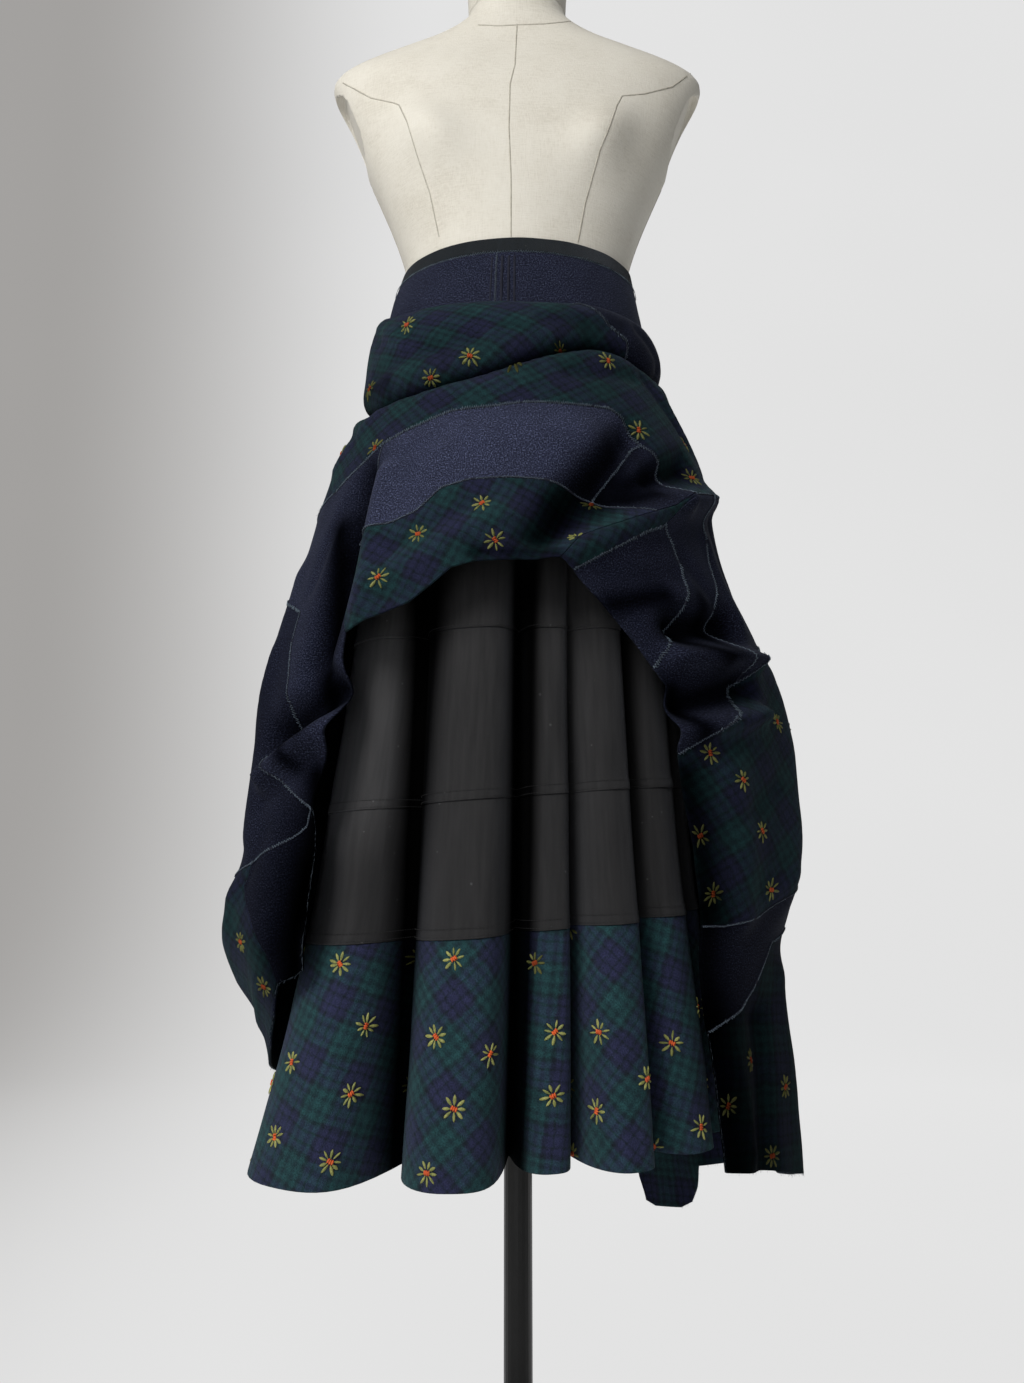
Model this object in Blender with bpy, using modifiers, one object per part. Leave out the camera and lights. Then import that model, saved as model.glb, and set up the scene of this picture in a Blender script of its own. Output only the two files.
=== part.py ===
"""Patchwork skirt on a limbless dress form.

Metres, +Z up, front towards -Y, origin at the centre of the stand's underside.
The skirt is worn hitched up at the front: a waistband and yoke, two hip rolls and a swag
of patchwork, and an open cotton underskirt with a flared flounce below them.
Every cloth surface is a rule of an angle round the body (0 at the front, 90 at the wearer's
left, which is +X, 180 at the back) and a height above the floor.
"""
import math

import bmesh
import bpy
from mathutils import Vector
from mathutils.geometry import delaunay_2d_cdt

# Stand and dress form
BASE_RADIUS = 0.180
BASE_THICKNESS = 0.014
BASE_EDGE = 0.004
POLE_RADIUS = 0.014
SEAT_GAP = 0.0003
TORSO_BOTTOM = 0.960
TORSO_SIDES = 24
BUST_HEIGHT = 1.385
BUST_ANGLE = 31.0
BUST_OUT = 0.016
BUST_SPREAD = 0.038
ARMHOLE_CENTRE = (0.1935, 0.0, 1.440)
ARMHOLE_TILT = 21.0
ARMHOLE_HALF_WIDTH = 0.036
ARMHOLE_HALF_HEIGHT = 0.052
ARMHOLE_DEPTH = 0.010

# Cloth
WOOL = 0.0028
COTTON = 0.0018
BAND = 0.0020
SEAM_GAP = 0.0004
UNROLL_RADIUS = 0.22
PANEL_SPACING = 0.032
EDGE_SPACING = 0.026
ROLL_SPACING = 0.020
FEATURE_CLEARANCE = 0.55

# Waistband and yoke heights
WAIST_TOP = 1.256
WAISTBAND_BOTTOM = 1.222
YOKE_TOP = 1.243
YOKE_BOTTOM = 1.153
YOKE_SEAM_ANGLE = -9.0

# Underskirt seams: height at the wearer's right (-X), height at the wearer's left (+X)
UPPER_SEAM = (0.826, 0.834)
MIDDLE_SEAM = (0.657, 0.686)
FLOUNCE_SEAM = (0.535, 0.566)
FLOUNCE_HEM = (0.334, 0.358)
COLUMNS_PER_LOBE = 6

# Rolls round the hips
ROLL_LIP = 0.034
CREASE_DEPTH = 0.013
CREASE_WIDTH = 0.010
YOKE_MARGIN = 0.016
ROLL_CLEARANCE = 0.0036
WAISTBAND_INSET = 0.0034

# Sections of the dress form: height, half width, front depth, back depth, squareness
TORSO = [
    (0.960, 0.145, 0.096, 0.110, 2.0),
    (1.020, 0.148, 0.099, 0.115, 2.0),
    (1.080, 0.144, 0.096, 0.110, 2.0),
    (1.150, 0.131, 0.090, 0.097, 2.0),
    (1.205, 0.1215, 0.0865, 0.0865, 2.0),
    (1.240, 0.1220, 0.0885, 0.0875, 2.0),
    (1.258, 0.1233, 0.0898, 0.0888, 2.0),
    (1.285, 0.1295, 0.0905, 0.0900, 2.0),
    (1.320, 0.1415, 0.0930, 0.0925, 2.1),
    (1.360, 0.158, 0.094, 0.094, 2.2),
    (1.395, 0.173, 0.092, 0.094, 2.3),
    (1.440, 0.191, 0.084, 0.092, 2.4),
    (1.480, 0.207, 0.074, 0.084, 2.4),
    (1.502, 0.2135, 0.066, 0.074, 2.3),
    (1.518, 0.196, 0.060, 0.068, 2.2),
    (1.535, 0.157, 0.056, 0.062, 2.1),
    (1.550, 0.117, 0.054, 0.060, 2.0),
    (1.566, 0.083, 0.053, 0.058, 2.0),
    (1.580, 0.064, 0.054, 0.057, 2.0),
    (1.594, 0.0575, 0.054, 0.056, 2.0),
]
NECK = [
    (1.5943, 0.0570, 0.0535, 0.0555),
    (1.625, 0.0585, 0.0545, 0.0560),
    (1.645, 0.0595, 0.0550, 0.0565),
    (1.652, 0.0565, 0.0520, 0.0535),
    (1.655, 0.0480, 0.0440, 0.0450),
]

# Cloth sections: height, left reach (-X), right reach (+X), front depth, back depth
YOKE = [
    (1.130, 0.1560, 0.1500, 0.1230, 0.1220),
    (1.170, 0.1500, 0.1440, 0.1150, 0.1130),
    (1.219, 0.1415, 0.1360, 0.1050, 0.1030),
    (1.256, 0.1305, 0.1295, 0.0960, 0.0950),
]
UNDERSKIRT = [
    (0.330, 0.200, 0.174, 0.106, 0.170),
    (0.450, 0.182, 0.169, 0.120, 0.164),
    (0.550, 0.173, 0.165, 0.126, 0.158),
    (0.660, 0.167, 0.161, 0.128, 0.152),
    (0.810, 0.159, 0.157, 0.128, 0.144),
    (0.900, 0.1585, 0.157, 0.127, 0.137),
    (1.000, 0.157, 0.156, 0.121, 0.130),
    (1.130, 0.1455, 0.1420, 0.110, 0.114),
    (1.222, 0.1340, 0.1300, 0.0960, 0.0945),
]
OUTER = [
    (0.200, 0.243, 0.270, 0.205, 0.226),
    (0.315, 0.243, 0.270, 0.205, 0.225),
    (0.417, 0.248, 0.265, 0.207, 0.222),
    (0.488, 0.266, 0.259, 0.208, 0.220),
    (0.536, 0.284, 0.264, 0.208, 0.222),
    (0.573, 0.284, 0.276, 0.208, 0.224),
    (0.624, 0.279, 0.286, 0.206, 0.224),
    (0.676, 0.275, 0.284, 0.202, 0.222),
    (0.728, 0.270, 0.280, 0.198, 0.220),
    (0.782, 0.262, 0.268, 0.195, 0.215),
    (0.834, 0.250, 0.250, 0.191, 0.210),
    (0.891, 0.234, 0.227, 0.188, 0.200),
    (0.948, 0.221, 0.213, 0.180, 0.190),
    (1.005, 0.205, 0.204, 0.171, 0.180),
    (1.050, 0.189, 0.186, 0.162, 0.170),
    (1.085, 0.176, 0.172, 0.154, 0.160),
    (1.120, 0.170, 0.163, 0.148, 0.152),
    (1.150, 0.168, 0.160, 0.144, 0.147),
    (1.185, 0.163, 0.156, 0.136, 0.138),
    (1.230, 0.158, 0.149, 0.128, 0.128),
]

# How much of its hem depth a flare of the underskirt has at each height
FLARE_GROWTH = [
    (0.330, 1.00),
    (0.450, 0.76),
    (0.550, 0.58),
    (0.660, 0.44),
    (0.830, 0.26),
    (0.960, 0.08),
    (1.050, 0.01),
    (1.222, 0.00),
]
# Flares of the underskirt: angle of the valley before it at the top, the same at the hem,
# and how far its ridge stands out at the hem
FLARES = [
    ("flare_1", -86.0, -86.0, 0.094),
    ("flare_2", -42.0, -33.0, 0.078),
    ("flare_3", 0.0, -3.0, 0.040),
    ("flare_4", 18.0, 15.0, 0.064),
    ("flare_5", 39.0, 37.0, 0.052),
    ("flare_6", 62.0, 62.0, 0.034),
    ("flare_7", 88.0, 90.0, 0.030),
    ("flare_8", 116.0, 115.0, 0.032),
    ("flare_9", 140.0, 141.0, 0.034),
    ("flare_10", 166.0, 164.0, 0.030),
    ("flare_11", 190.0, 191.0, 0.034),
    ("flare_12", 216.0, 214.0, 0.032),
    ("flare_13", 238.0, 237.0, 0.030),
    ("flare_14", 256.0, 256.0, 0.006),
]
FULL_TURN = 360.0

# Heights of the rolls' upper edge and of the crease below the first roll, by angle
ROLL_TOP = [
    (-180, 1.190), (-140, 1.196), (-95, 1.210), (-75, 1.200), (-56, 1.184), (-39, 1.177),
    (-23, 1.173), (-5, 1.170), (8, 1.169), (22, 1.172), (33, 1.175), (47, 1.176),
    (70, 1.177), (100, 1.180), (140, 1.186), (180, 1.190),
]
CREASE = [
    (-180, 1.105), (-140, 1.104), (-95, 1.104), (-75, 1.088), (-57, 1.076), (-42, 1.079),
    (-29, 1.080), (-21, 1.084), (-13, 1.087), (-1, 1.098), (11, 1.111), (27, 1.125),
    (38, 1.128), (48, 1.125), (62, 1.121), (80, 1.130), (100, 1.130), (140, 1.115),
    (180, 1.105),
]

# Folds of the patchwork layer: from angle and height, to angle and height, how far it stands
# out (a trough is negative) and its half width
FOLDS = [
    ("swag_left_trough", -42, 1.000, -45, 0.850, -0.009, 0.013),
    ("swag_left_ridge", -35, 0.990, -36, 0.845, 0.009, 0.015),
    ("swag_diagonal", -34, 0.870, -4, 0.925, 0.008, 0.014),
    ("swag_shade", 4, 0.915, 31, 1.015, -0.013, 0.017),
    ("swag_shoulder", -18, 1.000, 18, 1.012, 0.005, 0.022),
    ("roll_wrinkle_low", -62, 1.112, -14, 1.120, -0.004, 0.010),
    ("roll_wrinkle_high", 8, 1.137, 44, 1.150, -0.004, 0.009),
    ("cowl_a_ridge", 8, 0.882, 47, 0.957, 0.016, 0.014),
    ("cowl_a_rim", 47, 0.957, 72, 0.984, 0.012, 0.014),
    ("cowl_a_trough", 24, 0.955, 58, 1.004, -0.010, 0.016),
    ("cowl_b_trough", 36, 0.828, 58, 0.842, -0.013, 0.015),
    ("cowl_b_rim", 33, 0.798, 64, 0.815, 0.011, 0.013),
    ("cowl_c_trough", 33, 0.752, 54, 0.778, -0.012, 0.014),
    ("cowl_c_rim", 31, 0.722, 56, 0.748, 0.010, 0.014),
    ("left_cowl_trough", -41, 0.762, -58, 0.728, -0.014, 0.016),
    ("left_cowl_rim", -41, 0.732, -60, 0.694, 0.013, 0.015),
    ("left_long_fold", -74, 0.900, -68, 0.640, 0.007, 0.020),
    ("left_inner_shade", -48, 0.640, -50, 0.530, -0.014, 0.026),
    ("corner_flare", -74, 0.575, -82, 0.500, 0.013, 0.024),
    ("right_long_fold", 78, 0.800, 66, 0.590, 0.008, 0.024),
    ("right_inner_fold", 44, 0.690, 47, 0.570, 0.006, 0.018),
    ("right_hem_fold", 58, 0.470, 56, 0.335, -0.010, 0.020),
    ("right_hem_ridge", 74, 0.500, 76, 0.300, 0.008, 0.022),
    ("back_fold_1", 112, 0.960, 108, 0.290, 0.012, 0.026),
    ("back_fold_2", 134, 0.900, 128, 0.280, -0.012, 0.024),
    ("back_fold_3", 150, 0.980, 149, 0.230, 0.013, 0.026),
    ("back_fold_4", 170, 0.900, 172, 0.300, -0.011, 0.024),
    ("back_fold_5", -172, 0.960, -168, 0.300, 0.012, 0.026),
    ("back_fold_6", -150, 0.900, -152, 0.300, -0.012, 0.024),
    ("back_fold_7", -134, 0.980, -132, 0.310, 0.012, 0.026),
    ("back_fold_8", -112, 0.900, -114, 0.340, -0.010, 0.022),
    ("back_swag_1", -150, 1.060, 170, 1.030, 0.006, 0.018),
    ("back_swag_2", 120, 1.050, 168, 1.010, -0.006, 0.016),
]

# Seams and edges of the patchwork layer, each a line of angle and height
SEAMS = {
    "roll_top_back_left": [(-180, 1.190), (-140, 1.196), (-95, 1.210)],
    "roll_top_front": [(-95, 1.210), (-75, 1.200), (-56, 1.184), (-39, 1.177), (-23, 1.173),
                       (-5, 1.170), (8, 1.169), (22, 1.172)],
    "roll_top_right": [(22, 1.172), (33, 1.175), (47, 1.176), (70, 1.177), (100, 1.180)],
    "roll_top_back_right": [(100, 1.180), (140, 1.186), (180, 1.190)],
    "roll_side_left": [(-95, 1.210), (-95, 1.104)],
    "roll_patch": [(22, 1.172), (28, 1.165), (36, 1.149), (45, 1.141), (48, 1.125)],
    "roll_side_right": [(100, 1.180), (100, 1.130)],
    "roll_centre_back": [(180, 1.190), (180, 1.105)],
    "crease_back_left": [(-180, 1.105), (-140, 1.104), (-95, 1.104)],
    "crease_front": [(-95, 1.104), (-75, 1.088), (-57, 1.076), (-42, 1.079), (-29, 1.080),
                     (-21, 1.084), (-13, 1.087), (-1, 1.098), (11, 1.111), (27, 1.125),
                     (38, 1.128), (48, 1.125)],
    "crease_right": [(48, 1.125), (62, 1.121), (80, 1.130), (100, 1.130)],
    "crease_back_right": [(100, 1.130), (140, 1.115), (180, 1.105)],
    "hip_side_left": [(-95, 1.104), (-95, 0.970)],
    "hip_side_right": [(100, 1.130), (100, 1.000)],
    "band_left": [(-95, 0.970), (-78, 0.972), (-60, 0.982), (-50, 1.000), (-41, 1.016)],
    "band_front": [(-41, 1.016), (-28, 1.028), (-19, 1.037), (-7, 1.038), (2, 1.042),
                   (17, 1.043), (28, 1.045), (32, 1.039), (38, 1.014)],
    "band_drop": [(38, 1.014), (44, 0.999), (47, 0.962)],
    "cowl_rim": [(47, 0.962), (55, 0.972), (66, 0.982)],
    "cowl_rim_side": [(66, 0.982), (82, 0.992), (100, 1.000)],
    "swag_left_upper": [(-41, 1.016), (-43, 0.970), (-47, 0.918)],
    "swag_left_lower": [(-47, 0.918), (-47, 0.890), (-44, 0.862), (-40, 0.824)],
    "swag_middle": [(-47, 0.918), (-39, 0.922), (-32, 0.925), (-25, 0.934), (-19, 0.956),
                    (-12, 0.962), (-2, 0.963), (7, 0.961), (21, 0.948)],
    "swag_middle_right": [(21, 0.948), (28, 0.939), (34, 0.935)],
    "swag_right": [(38, 1.014), (35, 1.008), (30, 0.987), (21, 0.948)],
    "swag_low": [(-40, 0.824), (-34, 0.833), (-24, 0.846), (-19, 0.862), (-15, 0.876),
                 (-10, 0.881), (0, 0.882), (9, 0.881)],
    "cowl_top": [(9, 0.881), (14, 0.904), (25, 0.921), (34, 0.935)],
    "cowl_top_right": [(34, 0.935), (41, 0.946), (47, 0.962)],
    "cowl_strip_end": [(9, 0.881), (12, 0.872)],
    "cowl_zigzag": [(12, 0.872), (21, 0.892), (30, 0.912), (38, 0.926)],
    "cowl_strip_tip": [(38, 0.926), (47, 0.962)],
    "cowl_edge": [(12, 0.872), (17, 0.847), (20, 0.830), (24, 0.806), (27, 0.785)],
    "cowl_patch_side": [(38, 0.926), (41, 0.912), (43, 0.891), (42, 0.867), (37, 0.831),
                        (33, 0.816), (27, 0.785)],
    "piping": [(66, 0.982), (59, 0.939), (57, 0.903), (57, 0.882), (53, 0.847),
               (54, 0.815), (56, 0.784)],
    "drape_edge_high": [(27, 0.785), (30, 0.771), (29, 0.752), (30, 0.707)],
    "tartan_top": [(30, 0.707), (35, 0.721), (45, 0.746), (56, 0.784)],
    "tartan_top_side": [(56, 0.784), (63, 0.812), (80, 0.832), (100, 0.840)],
    "drape_edge_middle": [(30, 0.707), (31, 0.665), (33, 0.610), (36, 0.558)],
    "tartan_low": [(36, 0.558), (42, 0.557), (52, 0.564), (62, 0.578), (80, 0.602),
                   (100, 0.620)],
    "drape_edge_low": [(36, 0.558), (37, 0.530), (39, 0.468)],
    "navy_low": [(39, 0.468), (50, 0.483), (56, 0.500), (64, 0.538), (80, 0.547),
                 (100, 0.550)],
    "hem_panel_edge": [(39, 0.468), (40, 0.410), (41, 0.352)],
    "hem_right": [(41, 0.352), (50, 0.345), (60, 0.338), (75, 0.323), (88, 0.308),
                  (100, 0.296)],
    "side_right_1": [(100, 1.000), (100, 0.840)],
    "side_right_2": [(100, 0.840), (100, 0.620)],
    "side_right_3": [(100, 0.620), (100, 0.550)],
    "side_right_4": [(100, 0.550), (100, 0.296)],
    "left_edge_high": [(-40, 0.824), (-38, 0.759), (-39, 0.725), (-41, 0.690), (-44, 0.661)],
    "left_zigzag": [(-95, 0.900), (-78, 0.880), (-62, 0.856), (-62, 0.825), (-58, 0.791),
                    (-57, 0.758), (-58, 0.733), (-56, 0.699), (-53, 0.684), (-44, 0.661)],
    "left_lower_zigzag": [(-44, 0.661), (-47, 0.645), (-53, 0.631), (-66, 0.611)],
    "left_lower_side": [(-66, 0.611), (-80, 0.595), (-95, 0.580)],
    "left_edge_low": [(-44, 0.661), (-42, 0.620), (-42, 0.560), (-45, 0.518), (-55, 0.503)],
    "corner_fold": [(-66, 0.611), (-68, 0.590), (-62, 0.562), (-57, 0.531), (-55, 0.503)],
    "corner_edge": [(-55, 0.503), (-60, 0.470), (-68, 0.442), (-80, 0.418), (-95, 0.400)],
    "side_left_1": [(-95, 0.970), (-95, 0.900)],
    "side_left_2": [(-95, 0.900), (-95, 0.580)],
    "side_left_3": [(-95, 0.580), (-95, 0.400)],
    "back_right_1": [(100, 1.000), (140, 0.985), (180, 0.975)],
    "back_right_2": [(100, 0.840), (140, 0.800), (180, 0.770)],
    "back_right_3": [(100, 0.620), (140, 0.600), (180, 0.590)],
    "back_right_4": [(100, 0.550), (140, 0.480), (180, 0.440)],
    "hem_back_right": [(100, 0.296), (120, 0.286), (129, 0.276), (133, 0.232), (147, 0.218),
                       (151, 0.290), (180, 0.298)],
    "back_left_1": [(-180, 0.975), (-140, 0.975), (-95, 0.970)],
    "back_left_2": [(-180, 0.770), (-140, 0.820), (-95, 0.900)],
    "back_left_3": [(-180, 0.590), (-140, 0.585), (-95, 0.580)],
    "back_left_4": [(-180, 0.440), (-140, 0.425), (-95, 0.400)],
    "hem_back_left": [(-180, 0.298), (-150, 0.304), (-125, 0.330), (-95, 0.400)],
    "centre_back_1": [(180, 1.105), (180, 0.975)],
    "centre_back_2": [(180, 0.975), (180, 0.770)],
    "centre_back_3": [(180, 0.770), (180, 0.590)],
    "centre_back_4": [(180, 0.590), (180, 0.440)],
    "centre_back_5": [(180, 0.440), (180, 0.298)],
}

# Patches of the outer layer: name, cloth, and the seams round it. A seam that is walked
# backwards starts with "-"; one that is walked at angle -180 instead of 180 with "<"
PATCHES = [
    ("roll_front", "tartan", "roll_top_front roll_patch -crease_front -roll_side_left"),
    ("roll_right", "navy", "roll_top_right roll_side_right -crease_right -roll_patch"),
    ("roll_back_right", "tartan",
     "roll_top_back_right roll_centre_back -crease_back_right -roll_side_right"),
    ("roll_back_left", "tartan",
     "roll_top_back_left roll_side_left -crease_back_left <-roll_centre_back"),
    ("swag_band", "tartan",
     "crease_front crease_right hip_side_right -cowl_rim_side -cowl_rim -band_drop "
     "-band_front -band_left -hip_side_left"),
    ("swag_navy", "navy", "band_front swag_right -swag_middle -swag_left_upper"),
    ("swag_edge", "tartan",
     "swag_middle swag_middle_right -cowl_top -swag_low -swag_left_lower"),
    ("swag_gusset", "navy",
     "band_drop -cowl_top_right -swag_middle_right -swag_right"),
    ("cowl_strip", "tartan",
     "cowl_top cowl_top_right -cowl_strip_tip -cowl_zigzag -cowl_strip_end"),
    ("cowl_patch", "navy", "cowl_zigzag cowl_patch_side -cowl_edge"),
    ("right_side_navy", "navy",
     "cowl_rim piping -tartan_top -drape_edge_high -cowl_patch_side cowl_strip_tip"),
    ("right_outer_navy", "navy", "cowl_rim_side side_right_1 -tartan_top_side -piping"),
    ("right_tartan", "tartan",
     "tartan_top tartan_top_side side_right_2 -tartan_low -drape_edge_middle"),
    ("right_lower_navy", "navy", "tartan_low side_right_3 -navy_low -drape_edge_low"),
    ("right_hem", "tartan", "navy_low side_right_4 -hem_right -hem_panel_edge"),
    ("left_front_navy", "navy",
     "band_left swag_left_upper swag_left_lower left_edge_high -left_zigzag -side_left_1"),
    ("left_side_navy", "navy",
     "left_zigzag left_lower_zigzag left_lower_side -side_left_2"),
    ("left_lower_navy", "navy", "left_lower_zigzag corner_fold -left_edge_low"),
    ("left_corner_tartan", "tartan",
     "left_lower_side side_left_3 -corner_edge -corner_fold"),
    ("back_yoke_right", "tartan",
     "crease_back_right centre_back_1 -back_right_1 -hip_side_right"),
    ("back_upper_right", "navy", "back_right_1 centre_back_2 -back_right_2 -side_right_1"),
    ("back_middle_right", "tartan",
     "back_right_2 centre_back_3 -back_right_3 -side_right_2"),
    ("back_lower_right", "navy", "back_right_3 centre_back_4 -back_right_4 -side_right_3"),
    ("back_hem_right", "tartan",
     "back_right_4 centre_back_5 -hem_back_right -side_right_4"),
    ("back_yoke_left", "tartan",
     "crease_back_left hip_side_left -back_left_1 <-centre_back_1"),
    ("back_upper_left", "navy", "back_left_1 side_left_1 -back_left_2 <-centre_back_2"),
    ("back_middle_left", "navy", "back_left_2 side_left_2 -back_left_3 <-centre_back_3"),
    ("back_lower_left", "tartan", "back_left_3 side_left_3 -back_left_4 <-centre_back_4"),
    ("back_hem_left", "navy", "back_left_4 -hem_back_left <-centre_back_5"),
]

# Colours: red, green, blue, roughness, metallic
COLOURS = {
    "linen": (0.60, 0.57, 0.50, 0.85, 0.0),
    "black_metal": (0.012, 0.012, 0.013, 0.35, 0.3),
    "black_cotton": (0.018, 0.018, 0.019, 0.90, 0.0),
    "navy": (0.016, 0.020, 0.045, 0.95, 0.0),
    "tartan": (0.012, 0.030, 0.036, 0.95, 0.0),
}


def clear_scene():
    for item in list(bpy.data.objects):
        bpy.data.objects.remove(item, do_unlink=True)


def make_collection(name):
    collection = bpy.data.collections.new(name)
    bpy.context.scene.collection.children.link(collection)
    return collection


def make_material(name):
    red, green, blue, roughness, metallic = COLOURS[name]
    material = bpy.data.materials.new(name)
    material.use_nodes = True
    shader = material.node_tree.nodes["Principled BSDF"]
    shader.inputs["Base Color"].default_value = (red, green, blue, 1.0)
    shader.inputs["Roughness"].default_value = roughness
    shader.inputs["Metallic"].default_value = metallic
    return material


def smooth(t):
    """Ease from 0 to 1."""
    t = min(1.0, max(0.0, t))
    return t * t * (3.0 - 2.0 * t)


def curve_value(rows, x, column=1):
    """Height of a smooth curve through the rows' points, sorted by their first column."""
    if x <= rows[0][0]:
        return rows[0][column]
    if x >= rows[-1][0]:
        return rows[-1][column]
    place = max(i for i in range(len(rows) - 1) if rows[i][0] <= x)
    before = rows[max(place - 1, 0)]
    low = rows[place]
    high = rows[place + 1]
    after = rows[min(place + 2, len(rows) - 1)]
    span = high[0] - low[0]
    t = (x - low[0]) / span
    slope_low = (high[column] - before[column]) / (high[0] - before[0]) * span
    slope_high = (after[column] - low[column]) / (after[0] - low[0]) * span
    return ((2 * t ** 3 - 3 * t ** 2 + 1) * low[column]
            + (t ** 3 - 2 * t ** 2 + t) * slope_low
            + (-2 * t ** 3 + 3 * t ** 2) * high[column]
            + (t ** 3 - t ** 2) * slope_high)


def section_point(table, degrees, height, out=0.0):
    """A point of the section at this height, moved out along the section's normal."""
    angle = math.radians(degrees)
    side = math.sin(angle)
    ahead = math.cos(angle)
    width = curve_value(table, height, 2 if side > 0 else 1)
    depth = curve_value(table, height, 3 if ahead > 0 else 4)
    normal = Vector((side / width, -ahead / depth, 0.0)).normalized()
    return Vector((width * side, -depth * ahead, height)) + normal * out


def nearest_angle(degrees, reference):
    """The same direction, written within half a turn of the reference."""
    while degrees - reference > FULL_TURN / 2:
        degrees -= FULL_TURN
    while degrees - reference < -FULL_TURN / 2:
        degrees += FULL_TURN
    return degrees


def fold_relief(degrees, height):
    """How far the folds move the patchwork layer out at this place."""
    total = 0.0
    for _, angle_a, height_a, angle_b, height_b, out, half_width in FOLDS:
        angle_b = nearest_angle(angle_b, angle_a)
        middle = (angle_a + angle_b) / 2
        angle = nearest_angle(degrees, middle)
        start = Vector((math.radians(angle_a) * UNROLL_RADIUS, height_a))
        along = Vector((math.radians(angle_b) * UNROLL_RADIUS, height_b)) - start
        here = Vector((math.radians(angle) * UNROLL_RADIUS, height)) - start
        t = min(1.0, max(0.0, here.dot(along) / along.length_squared))
        distance = (here - along * t).length
        total += out * math.exp(-(distance / half_width) ** 2)
    return total


def outer_point(degrees, height, out=0.0):
    """The patchwork layer's outer face: rolls, crease and folds on its sections."""
    degrees_here = nearest_angle(degrees, 0.0)
    top = curve_value(ROLL_TOP, degrees_here)
    crease = curve_value(CREASE, degrees_here)
    relief = fold_relief(degrees_here, height)
    relief -= CREASE_DEPTH * math.exp(-((height - crease) / CREASE_WIDTH) ** 2)
    if height > YOKE_BOTTOM - YOKE_MARGIN:
        relief = max(relief, yoke_clearance(degrees_here, height))
    point = section_point(OUTER, degrees_here, height, relief + out)
    lip = min(1.0, max(0.0, (top - height) / ROLL_LIP))
    if lip >= 1.0:
        return point
    seat = section_point(YOKE, degrees_here, height, WOOL + SEAT_GAP + out)
    return seat.lerp(point, math.sqrt(1.0 - (1.0 - lip) ** 2))


def yoke_clearance(degrees, height):
    """The least relief at which the patchwork layer still lies over the yoke."""
    base = section_point(OUTER, degrees, height)
    step_out = section_point(OUTER, degrees, height, 1.0) - base
    seat = section_point(YOKE, degrees, height, WOOL + ROLL_CLEARANCE)
    return (seat - base).dot(step_out)


def outer_inner_point(degrees, height):
    return outer_point(degrees, height, -WOOL)


def seam_height(heights, degrees):
    """Height of an underskirt seam that climbs evenly from one side to the other."""
    share = 0.5 + 0.5 * math.sin(math.radians(degrees))
    return heights[0] + (heights[1] - heights[0]) * share


def flare_place(column):
    """Flare number and the place across it, from -1 to 1, of a column of the underskirt."""
    number = int(column // COLUMNS_PER_LOBE)
    across = 2.0 * (column % COLUMNS_PER_LOBE) / COLUMNS_PER_LOBE - 1.0
    return number, across


def flare_valley(number, growth):
    """Angle of the valley before a flare, between its top and hem places."""
    turns, place = divmod(number, len(FLARES))
    _, top, hem, _ = FLARES[place]
    return top + (hem - top) * growth + FULL_TURN * turns


def underskirt_point(column, height):
    growth = curve_value(FLARE_GROWTH, height)
    number, across = flare_place(column)
    start = flare_valley(number, growth)
    end = flare_valley(number + 1, growth)
    degrees = start + (end - start) * (across + 1.0) / 2.0
    ridge = FLARES[number % len(FLARES)][3]
    rise = math.cos(math.pi * across / 2.0) ** 1.5
    return section_point(UNDERSKIRT, degrees, height, ridge * growth * rise)


def link_mesh(name, mesh_data, collection, material):
    mesh = bpy.data.meshes.new(name)
    mesh_data.to_mesh(mesh)
    mesh_data.free()
    mesh.materials.append(material)
    mesh.shade_smooth()
    piece = bpy.data.objects.new(name, mesh)
    collection.objects.link(piece)
    return piece


def closed_wall(name, faces, outer, inner, collection, material):
    """A wall between two layers of points that share their faces.

    Both layers are worked out by one rule for all panels, so that the cut edges of
    neighbours stay parallel, which a thickness along each panel's own normals would not do.
    """
    builder = bmesh.new()
    shell = [builder.verts.new(point) for point in outer]
    lining = [builder.verts.new(point) for point in inner]
    edge_uses = {}
    for face in faces:
        builder.faces.new([shell[i] for i in face])
        builder.faces.new([lining[i] for i in reversed(face)])
        for start, end in zip(face, face[1:] + face[:1]):
            edge_uses[(start, end)] = True
    for start, end in edge_uses:
        if (end, start) not in edge_uses:
            builder.faces.new([shell[end], shell[start], lining[start], lining[end]])
    builder.normal_update()
    if builder.calc_volume(signed=True) < 0.0:
        bmesh.ops.reverse_faces(builder, faces=builder.faces)
    bmesh.ops.triangulate(builder, faces=builder.faces)
    return link_mesh(name, builder, collection, material)


def unrolled(place):
    degrees, height = place
    return Vector((math.radians(degrees) * UNROLL_RADIUS, height))


def rolled(point):
    return math.degrees(point.x / UNROLL_RADIUS), point.y


def divided(start, end, spacing):
    """Even points from start, without end, no further apart than the spacing."""
    steps = max(1, math.ceil((end - start).length / spacing))
    return [start.lerp(end, i / steps) for i in range(steps)]


def patch_outline(route, spacing):
    """The flat outline of a patch, from the seams round it."""
    outline = []
    for word in route.split():
        at_minus = word.startswith("<")
        word = word.lstrip("<")
        backwards = word.startswith("-")
        nodes = list(SEAMS[word.lstrip("-")])
        if at_minus:
            nodes = [(-degrees, height) for degrees, height in nodes]
        if backwards:
            nodes.reverse()
        for start, end in zip(nodes, nodes[1:]):
            outline += divided(unrolled(start), unrolled(end), spacing)
    return outline


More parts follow.
